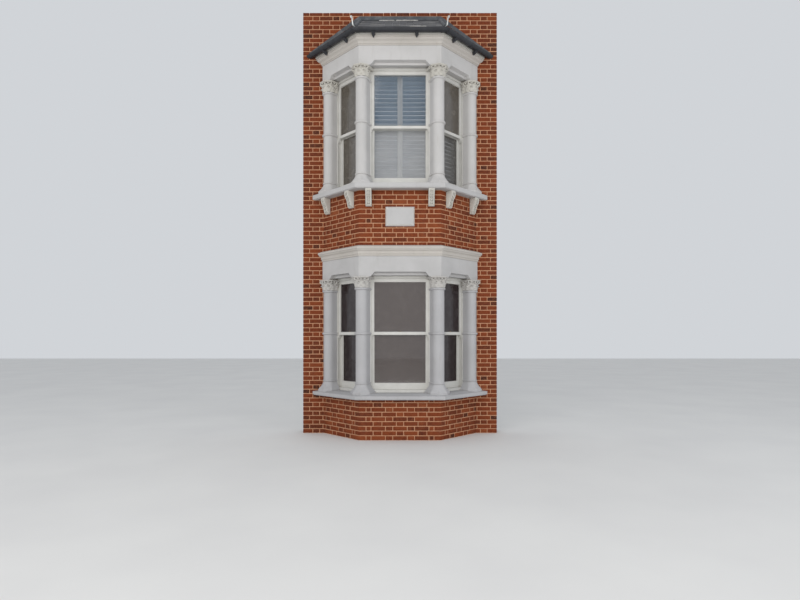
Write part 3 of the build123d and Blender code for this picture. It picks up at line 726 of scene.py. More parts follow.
def band_core(name, low, high):
    """Mortar face and plastered inside of a brick band."""
    ring = bay_outline(-BRICK_SETBACK - JOINT_RECESS) + bay_outline(-BAY_INSIDE)[::-1]
    shape = Shape()
    loft(shape, [(ring, low), (ring, high)])
    shape.slots = [0] * 6 + [1] * 3 + [0]  # two caps, the street faces, an end, the inside, an end
    shape.build(f"{name}_core", (MORTAR, PLASTER), "brickwork", f"{name}_wall")


def lay_house_wall(side, cad_node):
    """Half of the house wall in Flemish bond, with its cut end and the leaves that show at its top."""
    bricks = Shape()
    courses = list(course_levels(0.0, WALL_TOP))
    edge = side * (WALL_EDGE - END_SETBACK)
    for number, foot, top in courses:
        header_corner = number % 2 == 1
        corner_run = BRICK_SHORT if header_corner else (BRICK_SHORT + BRICK_LONG) / 2
        deep = BRICK_LONG if header_corner else BRICK_DEEP
        lay_brick(bricks, rectangle(edge, edge - side * corner_run, 0, deep), foot, top, header_corner)
        if not header_corner:
            behind = (BRICK_DEEP + JOINT, WALL_BACK - BACK_SETBACK)
            lay_brick(bricks, rectangle(edge, edge - side * BRICK_SHORT, *behind), foot, top, True)
        if foot < EAVES - 0.2:
            inner = HALF_FRONT + PROJECTION - WALL_BEHIND_BAY
        elif header_corner:
            inner = -OVER_BAY if side > 0 else OVER_BAY + JOINT
        else:
            inner = JOINT / 2
        outer = WALL_EDGE - corner_run - JOINT
        for a, b, header in flemish(inner, outer, WALL_EDGE - BRICK_SHORT / 2, header_corner):
            leaves = [(0, BRICK_DEEP)]
            if number == courses[-1][0]:
                leaves = [(0, BRICK_LONG)] if header else [(0, BRICK_DEEP), (INNER_LEAF, BRICK_LONG)]
            for leaf in leaves:
                lay_brick(bricks, rectangle(side * a, side * b, *leaf), foot, top, header)
    # The house wall's bricks are laid a tone darker than the bay's
    bricks.tones = [max(0.0, tone - WALL_DARKENING) for tone in bricks.tones]
    bricks.build(f"{cad_node}_bricks", BRICK, "brickwork", cad_node, 50)


def wall_core(cad_node):
    """The slice of wall, its street face, ends and cut top drawn back to the joints, plastered behind."""
    low, high = span(cad_node)
    mesh = cad_copy(cad_node, MORTAR, PLASTER)
    with edited(mesh) as bm:
        join_facets(bm)
        for vert in bm.verts:
            if vert.co.z > WALL_TOP - NEAR:
                vert.co.z -= TOP_RECESS
            if vert.co.y < NEAR:
                vert.co.y += JOINT_RECESS
            if abs(abs(vert.co.x) - WALL_EDGE) < NEAR:
                vert.co.x -= math.copysign(JOINT_RECESS, vert.co.x)
        for storey in STOREYS:
            ceiling = span(f"{storey}_ceiling")[0]
            if low < ceiling < high:
                bisect(bm, (0, 0, ceiling), UP)
        for face in bm.faces:
            middle = face.calc_center_median()
            jamb = abs(face.normal.x) > 0.5 and abs(middle.x) < WALL_EDGE - 0.1
            soffit = face.normal.z < -0.5 and middle.z > 1
            over_opening = cad_node in ("house_wall_middle", "house_wall_head") and middle.z < low + 0.7
            indoors = over_opening and face.normal.y < -0.5 and middle.z <= EAVES
            face.material_index = int(face.normal.y > 0.5 or jamb or soffit or indoors)
    place(f"{cad_node}_core", mesh, "brickwork", cad_node)


def build_brickwork():
    for name, levels in BANDS.items():
        lay_bay_band(name, *levels)
        band_core(name, *levels)
    for side in (-1, 1):
        lay_house_wall(side, f"house_wall_{NAMES[side]}")
    for part in ("left", "right", "foot", "middle", "head"):
        wall_core(f"house_wall_{part}")


# ---------------------------------------------------------------- columns

SHAFT = 0.097
BASE_SPREAD = 0.078
BASE_FOOT = 0.020
BASE_LIP = 0.003
BASE_CHAMFER = 0.005
IN_SILL = -0.022
BASE_NECK = 0.146
BASE_RING = (0.158, 0.013)
MID_RING = 0.020
NECK_RING = 0.019
RING_FILLET = 0.006
SMALLEST_SWELL = 0.0006
SMALLEST_RISE = 0.0004
MID_RING_AT = {"ground": 0.950, "first": 0.974}
PIER_DEPTH = 0.205
NOSE_STEPS = 32
FLARE_STEPS = 14
RING_STEPS = 12
INNER_COLUMN = (0.110, 0.0)
OUTER_COLUMN = (0.078, 0.085)
WINDOW_SETBACK = 0.170
PIER = 0.170
OPENINGS = {-1: FACE_LENGTH - 2 * PIER, 0: 0.968, 1: FACE_LENGTH - 2 * PIER}
FRAME_REBATE = 0.025
CUT_DEPTH = 0.28
# How far the cuts reach under and over a pier, for the windows and for the wall
WINDOW_CUT = (0.03, 0.01)
WALL_CUT = (0.04, 0.02)


def piers():
    """The eight columns: storey, side, whether it stands at the inner corner, and its two names."""
    for storey in STOREYS:
        for side in (-1, 1):
            for inner in (True, False):
                yield storey, side, inner, f"{storey}_{'inner' if inner else 'outer'}", NAMES[side]


def column_matrix(side, inner, level):
    """Matrix of a column: x across, y back towards the house, z up from a level; its axis at the origin."""
    turn = side * (HALF_CANT if inner else CANT)
    foot = (side * HALF_FRONT, -PROJECTION, 0) if inner else (side * (HALF_FRONT + PROJECTION), 0, 0)
    setback, along = INNER_COLUMN if inner else OUTER_COLUMN
    out = Vector((sin(turn), -cos(turn), 0))
    spot = Vector(foot) - out * setback - Vector((side * cos(CANT), sin(CANT), 0)) * along
    return Matrix.Translation((0, 0, level)) @ axes_matrix(Vector((-out.y, out.x, 0)), -out, UP, spot)


def keyhole_ring(radius, roundness):
    """Half-round or half-octagon nose on straight sides, as a closed line."""
    points = [Vector((radius, PIER_DEPTH))]
    for angle in arc(0, -pi, NOSE_STEPS):
        off = (angle + pi / 8) % (pi / 4) - pi / 8
        octagon = radius / cos(off)
        r = roundness * radius + (1 - roundness) * octagon
        points.append(Vector((r * cos(angle), r * sin(angle))))
    points.append(Vector((-radius, PIER_DEPTH)))
    return points


def column_levels(height, mid_ring):
    """(level, radius, roundness) up one column, from inside the sloping sill to the neck."""
    block_radius = SHAFT + BASE_SPREAD
    rows = [
        (IN_SILL, block_radius, 0.0), (BASE_FOOT - BASE_CHAMFER, block_radius, 0.0),
        (BASE_FOOT, block_radius - BASE_LIP, 0.0),
    ]
    for i in range(1, FLARE_STEPS + 1):
        t = i / FLARE_STEPS
        flare = (BASE_SPREAD - 2 * BASE_LIP) * (1 - t) ** 1.6 + BASE_LIP
        roundness = min(1.0, max(0.0, (t - 0.1) / 0.9))
        rows.append((BASE_FOOT + (BASE_NECK - BASE_FOOT) * t, SHAFT + flare, roundness))
    for middle, radius in (BASE_RING, (mid_ring, MID_RING), (height - NECK_RING, NECK_RING)):
        for i, a in enumerate(arc(-pi / 2, pi / 2, RING_STEPS)):
            swell = max(cos(a) * radius, SMALLEST_SWELL) if 0 < i < RING_STEPS else 0.0
            rows.append((middle + sin(a) * radius, SHAFT + swell, 1.0))
        if middle == mid_ring:
            for gap in (-1, 1):
                rows.append((middle + gap * (radius + RING_FILLET), SHAFT, 1.0))
    rows.sort(key=lambda row: row[0])
    return [row for i, row in enumerate(rows) if i == 0 or row[0] - rows[i - 1][0] > SMALLEST_RISE]


def pier_cutters(side, low, high):
    """Corners of the boxes that clear the box frames beside a pier, and of one for the house wall."""
    boxes = []
    for face_side in (0, side):
        half = OPENINGS[face_side] / 2 + FRAME_REBATE
        matrix = face_matrix(face_side, -WINDOW_SETBACK)
        opening = rectangle(-half, half, low - WINDOW_CUT[0], high + WINDOW_CUT[1])
        boxes.append([matrix @ Vector((p.x, p.y, depth)) for depth in (0.0, -CUT_DEPTH) for p in opening])
    wall = rectangle(-3, 3, 0, 1)
    boxes.append([Vector((p.x, p.y, z)) for z in (low - WALL_CUT[0], high + WALL_CUT[1]) for p in wall])
    return boxes


def cut(piece, boxes):
    """Takes boxes out of a piece, one after another, and keeps the plain mesh."""
    for corners in boxes:
        mesh = bpy.data.meshes.new("cutter")
        mesh.from_pydata([tuple(v) for v in corners], [], skin(2, 4))
        face_outwards(mesh)
        cutter = bpy.data.objects.new("cutter", mesh)
        bpy.context.scene.collection.objects.link(cutter)
        boolean = piece.modifiers.new("cut", "BOOLEAN")
        boolean.operation = "DIFFERENCE"
        boolean.solver = "EXACT"
        boolean.object = cutter
        bpy.context.view_layer.update()
        graph = bpy.context.evaluated_depsgraph_get()
        fresh = bpy.data.meshes.new_from_object(piece.evaluated_get(graph))
        piece.modifiers.clear()
        piece.data = fresh
        bpy.data.objects.remove(cutter)


def turn_pier(name, stone, cad_node, rings, matrix, boxes, smooth_angle):
    """Body of a column or of a capital from its rings of (radius, roundness, level), cut to the windows."""
    shape = Shape()
    loft(shape, [(keyhole_ring(radius, roundness), level) for radius, roundness, level in rings], matrix)
    piece = shape.build(name, stone, "painted_stone", cad_node)
    cut(piece, boxes)
    smooth(piece.data, smooth_angle)


def build_columns():
    for storey, side, inner, name, side_name in piers():
        foot, neck, top = STOREYS[storey]
        rings = [
            (radius, roundness, level)
            for level, radius, roundness in column_levels(neck - foot, MID_RING_AT[storey])
        ]
        turn_pier(
            f"{name}_column_{side_name}", STONE_DARKEST if storey == "ground" else STONE_UPPER,
            f"{storey}_columns", rings, column_matrix(side, inner, foot), pier_cutters(side, foot, top), 28,
        )


# ---------------------------------------------------------------- capitals

ABACUS = 0.022
ABACUS_SPREAD = 0.058
LEAF_PERIOD = pi / 4 * SHAFT
LEAF_STEP = 0.0040
LEAF_LEVELS = 44
# Of each row of leaves: shift in periods, way of leaning, foot and height as parts of the bell's height,
# half width and curl
LEAF_ROWS = ((0.0, 1, 0.0, 0.60, 0.043, 0.024), (0.5, -1, 0.20, 0.78, 0.040, 0.022))
VOLUTE_STEPS = 29
VOLUTE_TURNS = 1.75
VOLUTE_START = 0.62 * pi
VOLUTE = 0.021
PETALS = 5
PETAL = 0.0085
PETAL_REACH = 0.012
FLEURON_HEART = 0.009
FLEURON_REACH = 0.046
FLEURON_DROP = 0.006
VOLUTE_RISE = 0.003
VOLUTE_REACH = ABACUS_SPREAD + 0.004
LEAF_TIP = 0.60  # part of a leaf's height where its tip starts to curl
LEAF_THICK = 0.009
LEAF_SWELL = 0.008
LEAF_DROP = 0.016
LEAF_EDGE = 0.34  # part of its half width over which it rises
LOBE_DEPTH = 0.26
LEAF_LEAN = 0.004
FOLIAGE_FLANK = 0.155
FLUTE = 0.0026
FLUTE_PITCH = 0.0115
MIDRIB = 0.0035
MIDRIB_HALF = 0.005
BELL_START = 0.003
BELL_SPREAD = 0.030
BELL_COVER = 0.002
# Moulding under the edge of the abacus: how far in, and level over the bell
ABACUS_MOULDING = ((0.016, -0.002), (0.012, 0.004), (0.004, 0.009), (0.0, 0.011))


def round_plan(run):
    """Point and outward direction of the shaft's outline, at a distance round from its nose."""
    quarter = pi / 2 * SHAFT
    if abs(run) < quarter:
        a = run / SHAFT - pi / 2
        out = Vector((cos(a), sin(a)))
        return out * SHAFT, out
    flank = math.copysign(1, run)
    return Vector((flank * SHAFT, abs(run) - quarter)), Vector((flank, 0))


def leaf_relief(across, level, height, half_width, curl):
    """How far a carved leaf stands out at a point, and how far its tip hangs over there."""
    t = level / height
    if not 0 <= t <= 1:
        return 0.0, 0.0
    tip = max(0.0, (t - LEAF_TIP) / (1 - LEAF_TIP))
    lobes = 1 - LOBE_DEPTH * abs(sin(3.5 * pi * t)) ** 0.8
    half = half_width * (0.70 + 0.40 * sin(pi * min(1, t * 1.1))) * lobes * (1 - 0.72 * tip ** 1.6)
    inside = 1 - abs(across) / half
    if inside <= 0:
        return 0.0, 0.0
    edge = min(1.0, inside / LEAF_EDGE)
    edge *= edge * (3 - 2 * edge)
    flutes = FLUTE * cos(2 * pi * (abs(across) / FLUTE_PITCH - 1.5 * t))
    rib = MIDRIB * max(0.0, 1 - abs(across) / MIDRIB_HALF)
    body = LEAF_THICK + LEAF_SWELL * t + curl * tip ** 1.4 + flutes + rib
    return edge * body, edge * LEAF_DROP * tip ** 1.5


def bell(level, bell_height):
    """How far the bell stands out at a level."""
    return BELL_START + BELL_SPREAD * min(max(level / bell_height, 0), 1) ** 2.2


def capital_foliage(matrix, bell_height, seed):
    """Two rows of leaves round a capital, cut into one skin over the bell."""
    chance = random.Random(seed)
    lean = {k: chance.uniform(-LEAF_LEAN, LEAF_LEAN) for k in range(-12, 13)}
    count = int((pi / 2 * SHAFT + FOLIAGE_FLANK) / LEAF_STEP)
    verts = []
    for row in range(LEAF_LEVELS + 1):
        level = bell_height * row / LEAF_LEVELS
        for k in range(-count, count + 1):
            run = k * LEAF_STEP
            point, out = round_plan(run)
            relief, drop = 0.0, 0.0
            for shift, way, foot, height, half_width, curl in LEAF_ROWS:
                near = round(run / LEAF_PERIOD - shift)
                for number in (near - 1, near, near + 1):
                    middle = (number + shift) * LEAF_PERIOD + way * lean[number] * level / bell_height
                    found = leaf_relief(
                        run - middle, level - bell_height * foot, bell_height * height, half_width, curl,
                    )
                    if found[0] > relief:
                        relief, drop = found
            spot = point + out * (bell(level, bell_height) + relief)
            verts.append((spot.x, spot.y, max(level - drop, 0.0005)))
    width = 2 * count + 1
    ends = [row * width for row in range(LEAF_LEVELS + 1)]
    back = tuple(ends + [end + width - 1 for end in reversed(ends)])
    shape = Shape()
    shape.add(verts, skin(LEAF_LEVELS + 1, width, ring=False) + [back], matrix=matrix)
    return shape


def volute(shape, matrix, run, level, reach, size):
    """A scroll under a corner of the abacus, standing square to the bell."""
    point, out = round_plan(run)
    points = []
    for i in range(VOLUTE_STEPS + 1):
        t = i / VOLUTE_STEPS
        a = VOLUTE_START - VOLUTE_TURNS * 2 * pi * t
        r = size * (1 - 0.80 * t)
        spot = point + out * (reach - size + r * cos(a))
        points.append(matrix @ Vector((spot.x, spot.y, level - size + r * sin(a))))
    across = matrix.to_3x3() @ Vector((-out.y, out.x, 0))
    tube(shape, points, size * 0.42, scale_at=lambda t: 1 - 0.5 * t, flat=across)
    eye = point + out * (reach - size)
    bead(shape, matrix, (eye.x, eye.y, level - size), (size * 0.34,) * 3)


def fleuron(shape, matrix, run, level, reach):
    """A small flower in the middle of a side of the abacus."""
    point, out = round_plan(run)
    across = Vector((-out.y, out.x))
    centre = point + out * reach
    bead(shape, matrix, (centre.x, centre.y, level), (FLEURON_HEART,) * 3)
    for a in arc(pi / 2, 2.5 * pi, PETALS)[:-1]:
        spot = centre + across * (cos(a) * PETAL_REACH) - out * 0.003
        bead(shape, matrix, (spot.x, spot.y, level + sin(a) * PETAL_REACH), (PETAL,) * 3, 5, 8)


def build_capitals():
    for storey, side, inner, name, side_name in piers():
        _, neck, top = STOREYS[storey]
        stone = CARVED_LOWER if storey == "ground" else CARVED_UPPER
        cad_node = f"{storey}_capitals"
        matrix = column_matrix(side, inner, neck)
        height = top - neck
        bell_height = height - ABACUS
        spread = SHAFT + ABACUS_SPREAD
        rings = [(SHAFT + BELL_COVER, 1.0, 0.0), (SHAFT + BELL_COVER, 1.0, bell_height - 0.004)]
        rings += [(spread - inset, 0.0, bell_height + level) for inset, level in ABACUS_MOULDING]
        rings += [(spread, 0.0, height - 0.002), (spread - 0.0015, 0.0, height - 0.0005)]
        turn_pier(
            f"{name}_capital_{side_name}", stone, cad_node, rings, matrix, pier_cutters(side, neck, top), 30,
        )
        planes = [AT_WALL]
        for face_side in (0, side) if inner else (side,):
            front = face_matrix(face_side, -WINDOW_SETBACK + 0.0005)
            planes.append((front.translation, -front.col[2].xyz))
        seed = f"{storey}{NAMES[side]}{'inner' if inner else 'outer'}"
        carving = capital_foliage(matrix, bell_height, seed)
        for corner in (-5, -3, -1, 1, 3, 5):
            run = corner / 2 * LEAF_PERIOD
            volute(carving, matrix, run, bell_height + VOLUTE_RISE, VOLUTE_REACH, VOLUTE)
        for middle in (-2, -1, 0, 1, 2):
            fleuron(carving, matrix, middle * LEAF_PERIOD, bell_height - FLEURON_DROP, FLEURON_REACH)
        carved = carving.build(f"{name}_leaves_{side_name}", stone, "painted_stone", cad_node)
        clip_piece(carved, planes, 55)


# ---------------------------------------------------------------- roof

EAVES_NOSING = -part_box("roof_slopes")[0].y - PROJECTION
EAVES_EDGE = 0.026
ROOF_TOP_HALF = 0.668
SLATE_WIDTH = 0.230
SLATE_GAUGE = 0.135
SLATE_THICK = 0.006
SLATE_GAP = 0.003
SLATE_LAP = 0.012
SLATE_TILT = SLATE_THICK / SLATE_GAUGE * 0.9
SLATE_TONE = (0.45, 0.2)
SLATE_CHIP = 0.0015
SLATE_LIFT = 0.0012
SLATE_SHIFT = 0.004
SLATE_UNEVEN = 0.002
SLATE_CORNER = 0.004
SMALLEST_SLATE = 0.0006
BOARDING_DROP = 0.016
HIP_RADIUS = 0.032
HIP_STEPS = 44
HIP_AROUND = 14
HIP_START = 0.006
HIP_SHORTER = 0.020
HIP_SINK = 0.002
HIP_WRAP = (radians(-12), radians(192))
LEAD_LENGTH = 0.42
LEAD_LAP = 0.16  # part of a length that lies on the one below
LEAD_FIT = 0.90
LAP_SWELL = 0.06
LEAD_RIPPLE = 0.0008
RIPPLE_PACE = 60
IRON_BEND = 0.024
IRON_CURL = 0.015
IRON_TAIL = 0.0305
IRON_STEM = 0.098
IRON_HALF_WIDE = 0.0105
IRON_FLATNESS = 0.42
IRON_DROP = 0.003
IRON_SPLAY = 0.60
IRON_LEAN = 0.22
IRON_CURL_TURN = radians(252)
BEND_STEPS = 8
CURL_STEPS = 21
CEMENT_SIZES = (0.6, 1.15)
CEMENT_LUMP = (1.7, 1.2, 0.55)
CEMENT_PACE = 1.1
CEMENT_SCATTER = 0.008
# Of each line of cement on the front slope: start, end, height up the slope (negative: down from its
# top) and size
CEMENT_RUNS = ((-0.34, -0.10, -0.085, 0.015), (-0.04, 0.30, -0.080, 0.018), (0.17, 0.40, 0.060, 0.012))


def hip_ends(side):
    """Foot and top of a hip."""
    front = HALF_FRONT + EAVES_NOSING * tan(HALF_CANT)
    foot = Vector((side * front, -PROJECTION - EAVES_NOSING, EAVES + EAVES_EDGE))
    return foot, Vector((side * ROOF_TOP_HALF, 0, ROOF_TOP))


def slope_frame(side):
    """Matrix of a roof slope (x along the eaves, y up the slope, z out of it) and its outline in x, y."""
    left_foot, left_top = hip_ends(-1)
    right_foot, right_top = hip_ends(1)
    wall = HALF_FRONT + PROJECTION + EAVES_NOSING * (1 + tan(HALF_CANT))
    wall_foot = Vector((side * wall, 0, EAVES + EAVES_EDGE))
    corners = {
        -1: [wall_foot, left_foot, left_top], 0: [left_foot, right_foot, right_top, left_top],
        1: [right_foot, wall_foot, right_top],
    }[side]
    along = (corners[1] - corners[0]).normalized()
    normal = along.cross(corners[2] - corners[0]).normalized()
    matrix = axes_matrix(along, normal.cross(along), normal, corners[0])
    inverse = matrix.inverted()
    return matrix, [(inverse @ corner).to_2d() for corner in corners]


def merge_close(points, distance):
    """A closed line without the points that lie too near to the one before."""
    kept = []
    for p in points:
        if not kept or (p - kept[-1]).length > distance:
            kept.append(p)
    if len(kept) > 1 and (kept[0] - kept[-1]).length <= distance:
        kept.pop()
    return kept


def lay_slate(shape, tile, foot, matrix):
    """One slate, riding on the head of the course below it, with a chipped lower edge."""
    tile = merge_close(tile, SLATE_CORNER)
    if len(tile) < 3:
        return
    lift = random.uniform(0, SLATE_LIFT)
    tone = min(max(random.gauss(*SLATE_TONE), 0), 1)
    n = len(tile)
    verts = []
    for drop in (0.0, SLATE_THICK):
        for p in tile:
            height = -0.0005 - (p.y - foot) * SLATE_TILT - drop - lift
            chip = random.uniform(-SLATE_CHIP, SLATE_CHIP) if p.y - foot < 0.003 else 0
            verts.append((p.x, p.y + chip, height))
    faces = [tuple(range(n)), tuple(range(n, 2 * n))[::-1]] + skin(2, n, capped=False)
    shape.add(verts, faces, tone, matrix=matrix)


def build_roof():
    boarding = cad_copy("roof_slopes", JOINERY)
    with edited(boarding) as bm:
        join_facets(bm)
        for vert in {v for f in bm.faces if f.normal.z > 0.4 for v in f.verts}:
            vert.co.z -= BOARDING_DROP
    place("roof_boarding", boarding, "slate", "roof_slopes")

    for side, name in ((-1, "left"), (0, "front"), (1, "right")):
        matrix, outline = slope_frame(side)
        slates = Shape()
        top = max(p.y for p in outline)
        low_x, high_x = min(p.x for p in outline), max(p.x for p in outline)
        row = 0
        y = 0.0
        while y < top - 0.02:
            x = low_x - (row % 2) * SLATE_WIDTH / 2 - random.uniform(0, SLATE_SHIFT)
            while x < high_x:
                foot = y + random.uniform(-SLATE_UNEVEN, SLATE_UNEVEN) if row else 0.0
                tile = rectangle(x + SLATE_GAP, x + SLATE_WIDTH, foot, y + SLATE_GAUGE + SLATE_LAP)
                tile = clip_to(tile, outline, 0.001)
                if len(tile) >= 3 and abs(signed_area(tile)) > SMALLEST_SLATE:
                    lay_slate(slates, tile, foot, matrix)
                x += SLATE_WIDTH + 0.001
            y += SLATE_GAUGE
            row += 1
        slates.build(f"slates_{name}", SLATE, "slate", "roof_slopes")


def build_hips():
    """Lead rolls over the hips, in lapped lengths."""
    rolls = Shape()
    for side in (-1, 1):
        foot, top = hip_ends(side)
        length = (top - foot).length
        run = (top - foot).normalized()
        across = run.cross(UP).normalized()
        normal = across.cross(run).normalized()
        if normal.z < 0:
            normal.negate()
        verts = []
        for i in range(HIP_STEPS + 1):
            s = i / HIP_STEPS * (length - HIP_SHORTER) + HIP_START
            lapped = (s / LEAD_LENGTH) % 1 < LEAD_LAP
            ripple = LEAD_RIPPLE * sin(s * RIPPLE_PACE + side)
            radius = HIP_RADIUS * (LEAD_FIT + (LAP_SWELL if lapped else 0.0)) + ripple
            centre = foot + run * s - normal * HIP_SINK
            for a in arc(*HIP_WRAP, HIP_AROUND):
                verts.append(centre + across * cos(a) * radius + normal * sin(a) * radius)
        rolls.add(verts, skin(HIP_STEPS + 1, HIP_AROUND + 1))
    planes = ((0, -0.004, 0), (0, 1, 0)), ((0, 0, EAVES + 0.002), (0, 0, -1))
    clip_piece(rolls.build("hip_rolls_lead", LEAD, "lead", "hip_rolls"), planes, 40)


def build_hip_irons():
    """A flat bar at the foot of each hip roll, bent up and curled outwards at its tip."""
    shape = Shape()
    for side in (-1, 1):
        foot, top = hip_ends(side)
        away = Vector((foot.x - top.x, foot.y - top.y, 0)).normalized()
        out = (away + Vector((side * IRON_SPLAY, 0, 0))).normalized()
        lean = (UP + out * IRON_LEAN).normalized()
        beside = (out - lean * out.dot(lean)).normalized()
        start = foot - UP * IRON_DROP
        turn = atan2(lean.dot(UP), lean.dot(out))
        points = [start]
        for a in arc(0, turn, BEND_STEPS):
            points.append(start + out * (IRON_TAIL + IRON_BEND * sin(a)) + UP * IRON_BEND * (1 - cos(a)))
        tip = points[-1] + lean * IRON_STEM
        for a in arc(0, IRON_CURL_TURN, CURL_STEPS):
            points.append(tip + beside * IRON_CURL * (1 - cos(a)) + lean * IRON_CURL * sin(a))
        tube(shape, points, IRON_HALF_WIDE, 12, flat=out.cross(UP), thickness=IRON_FLATNESS)
    shape.build("hip_irons_curled", PALE_IRON, "hip_iron", "hip_irons", 50)


def build_roof_repairs():
    """A broken cement fillet under the flashing, and a line of cement low on the slope over the gutter."""
    chance = random.Random(31)
    matrix, outline = slope_frame(0)
    middle, top = (outline[0].x + outline[1].x) / 2, max(p.y for p in outline)
    shape = Shape()
    for x, end_x, rise, size in CEMENT_RUNS:
        y = rise if rise > 0 else top + rise
        while x < end_x:
            radius = size * chance.uniform(*CEMENT_SIZES)
            centre = (middle + x, y + chance.uniform(-CEMENT_SCATTER, CEMENT_SCATTER), -0.001)
            bead(shape, matrix, centre, [radius * factor for factor in CEMENT_LUMP], 7, 12)
            x += radius * CEMENT_PACE
    shape.build("roof_cement", CEMENT, "slate", "roof_slopes", 60)


# ---------------------------------------------------------------- windows

LINING = 0.024
STILE = 0.042
FRAME_HEAD = 0.062
FRAME_SILL = 0.042
HEAD_RISE = 0.052
TOP_RAIL = 0.056
MEETING_RAIL = 0.046
BOTTOM_RAIL = 0.104
MEETING_AT = 0.952
SASH = 0.045
GLASS = 0.004
PUTTY = 0.005
PLATE = 0.004
INNER_PLATE_HALF = (0.032, 0.011)
OUTER_PLATE_HALF = (0.024, 0.010)
ARM_HALF = 0.006
ARM_RISE = 0.008
BOSS = (0.011, 0.011, 0.008)
FASTENER_KNOB = (0.008, 0.008, 0.006)
LIFT_AT = 0.14
LIFT_HALF = 0.018
LIFT_RISE = 0.052
LIFT_HIGH = 0.040
LIFT_REACH = 0.022
OUTER_RUN = WINDOW_SETBACK + 0.020
INNER_RUN = OUTER_RUN + SASH + 0.009


def panes(storey, side):
    """(half width, foot, head, depth of the sash) of the upper and the lower pane of a window."""
    foot, _, top = STOREYS[storey]
    half = OPENINGS[side] / 2 - LINING - STILE
    meeting = foot + MEETING_AT
    return (
        (half, meeting + MEETING_RAIL / 2, top + HEAD_RISE - FRAME_HEAD - TOP_RAIL, OUTER_RUN),
        (half, foot + FRAME_SILL + BOTTOM_RAIL, meeting - MEETING_RAIL / 2, INNER_RUN),
    )


def windows():
    """The six windows: storey, side and name."""
    for storey in STOREYS:
        for side, name in NAMES.items():
            yield storey, side, f"{storey}_{name}"


def build_putty():
    """Sloping putty round every pane, on the street side."""
    for storey, side, name in windows():
        shape = Shape()
        for half, low, high, depth in panes(storey, side):
            glass = depth + (SASH - GLASS) / 2 - 0.0005
            verts = []
            for inset, back in ((0.0, depth + 0.004), (PUTTY, glass), (0.0, glass)):
                corners = rectangle(inset - half, half - inset, low + inset, high - inset)
                verts += [(p.x, p.y, -back) for p in corners]
            shape.add(verts, skin(3, 4, loop=True), matrix=face_matrix(side))
        shape.build(f"{name}_putty", JOINERY, "joinery", f"{name}_sashes")


def build_sash_furniture():
    """A brass fastener on the meeting rails and two lifts on the bottom rail of every window."""
    back = INNER_RUN + SASH
    inner, outer = INNER_RUN + SASH / 2, OUTER_RUN + SASH / 2
    for storey, side, name in windows():
        foot = STOREYS[storey][0]
        rail, lift = foot + MEETING_AT + MEETING_RAIL / 2, foot + FRAME_SILL + LIFT_RISE
        shape = Shape()
        m = plan_matrix(side)
        for y, (half_long, half_wide) in ((inner, INNER_PLATE_HALF), (outer, OUTER_PLATE_HALF)):
            block(shape, m, (-half_long, half_long), (y - half_wide, y + half_wide), (rail, rail + PLATE))
        bead(shape, m, (0, inner, rail + ARM_RISE), BOSS)
        arm = (rail + ARM_RISE, rail + ARM_RISE + PLATE)
        block(shape, m, (-ARM_HALF, ARM_HALF), (outer - 0.004, inner), arm)
        bead(shape, m, (0, outer - 0.003, rail + 0.010), FASTENER_KNOB)
        for x in (-LIFT_AT, LIFT_AT):
            wide = (x - LIFT_HALF, x + LIFT_HALF)
            block(shape, m, wide, (back, back + 0.003), (lift, lift + LIFT_HIGH))
            block(shape, m, wide, (back + 0.002, back + LIFT_REACH), (lift, lift + PLATE))
        shape.build(f"{name}_furniture", BRASS, "joinery", f"{name}_sashes")


# ---------------------------------------------------------------- shutters

SHUTTER_AT = 0.324
SHUTTER_HALF_THICK = 0.014
SHUTTER_STILE = 0.042
SHUTTER_RAIL = 0.062
SHUTTER_GAP = 0.003
SHUTTER_ARRIS = 0.003
RAIL_TENON = 0.001
BLADE_TENON = 0.002
BLADE_PITCH = 0.068
BLADE_HALF = (0.0345, 0.004)
BLADE_SIDES = 14
HINGE = 0.0045
HINGE_HALF = 0.032
HINGE_IN = 0.12
HINGE_OVER_MIDDLE = 0.06
KNOB_RISE = 0.62
SHUTTER_KNOB = (0.010, 0.008, 0.010)
OPEN_BLADES = radians(-34)
SHUT_BLADES = radians(80)


def blade(shape, matrix, x, level, angle):
    """A louvre blade of lens section between two stiles, turned about its own length."""
    ring = []
    for a in arc(0, 2 * pi, BLADE_SIDES)[:-1]:
        deep, high = BLADE_HALF[0] * cos(a), BLADE_HALF[1] * sin(a)
        y = SHUTTER_AT + deep * cos(angle) - high * sin(angle)
        ring.append((y, level + deep * sin(angle) + high * cos(angle)))
    verts = [(end, y, z) for end in x for y, z in ring]
    # the shut blades and the open blades each take their painted shade
    shape.add(verts, skin(2, BLADE_SIDES), slot=1 if angle > 0 else 2, matrix=matrix)


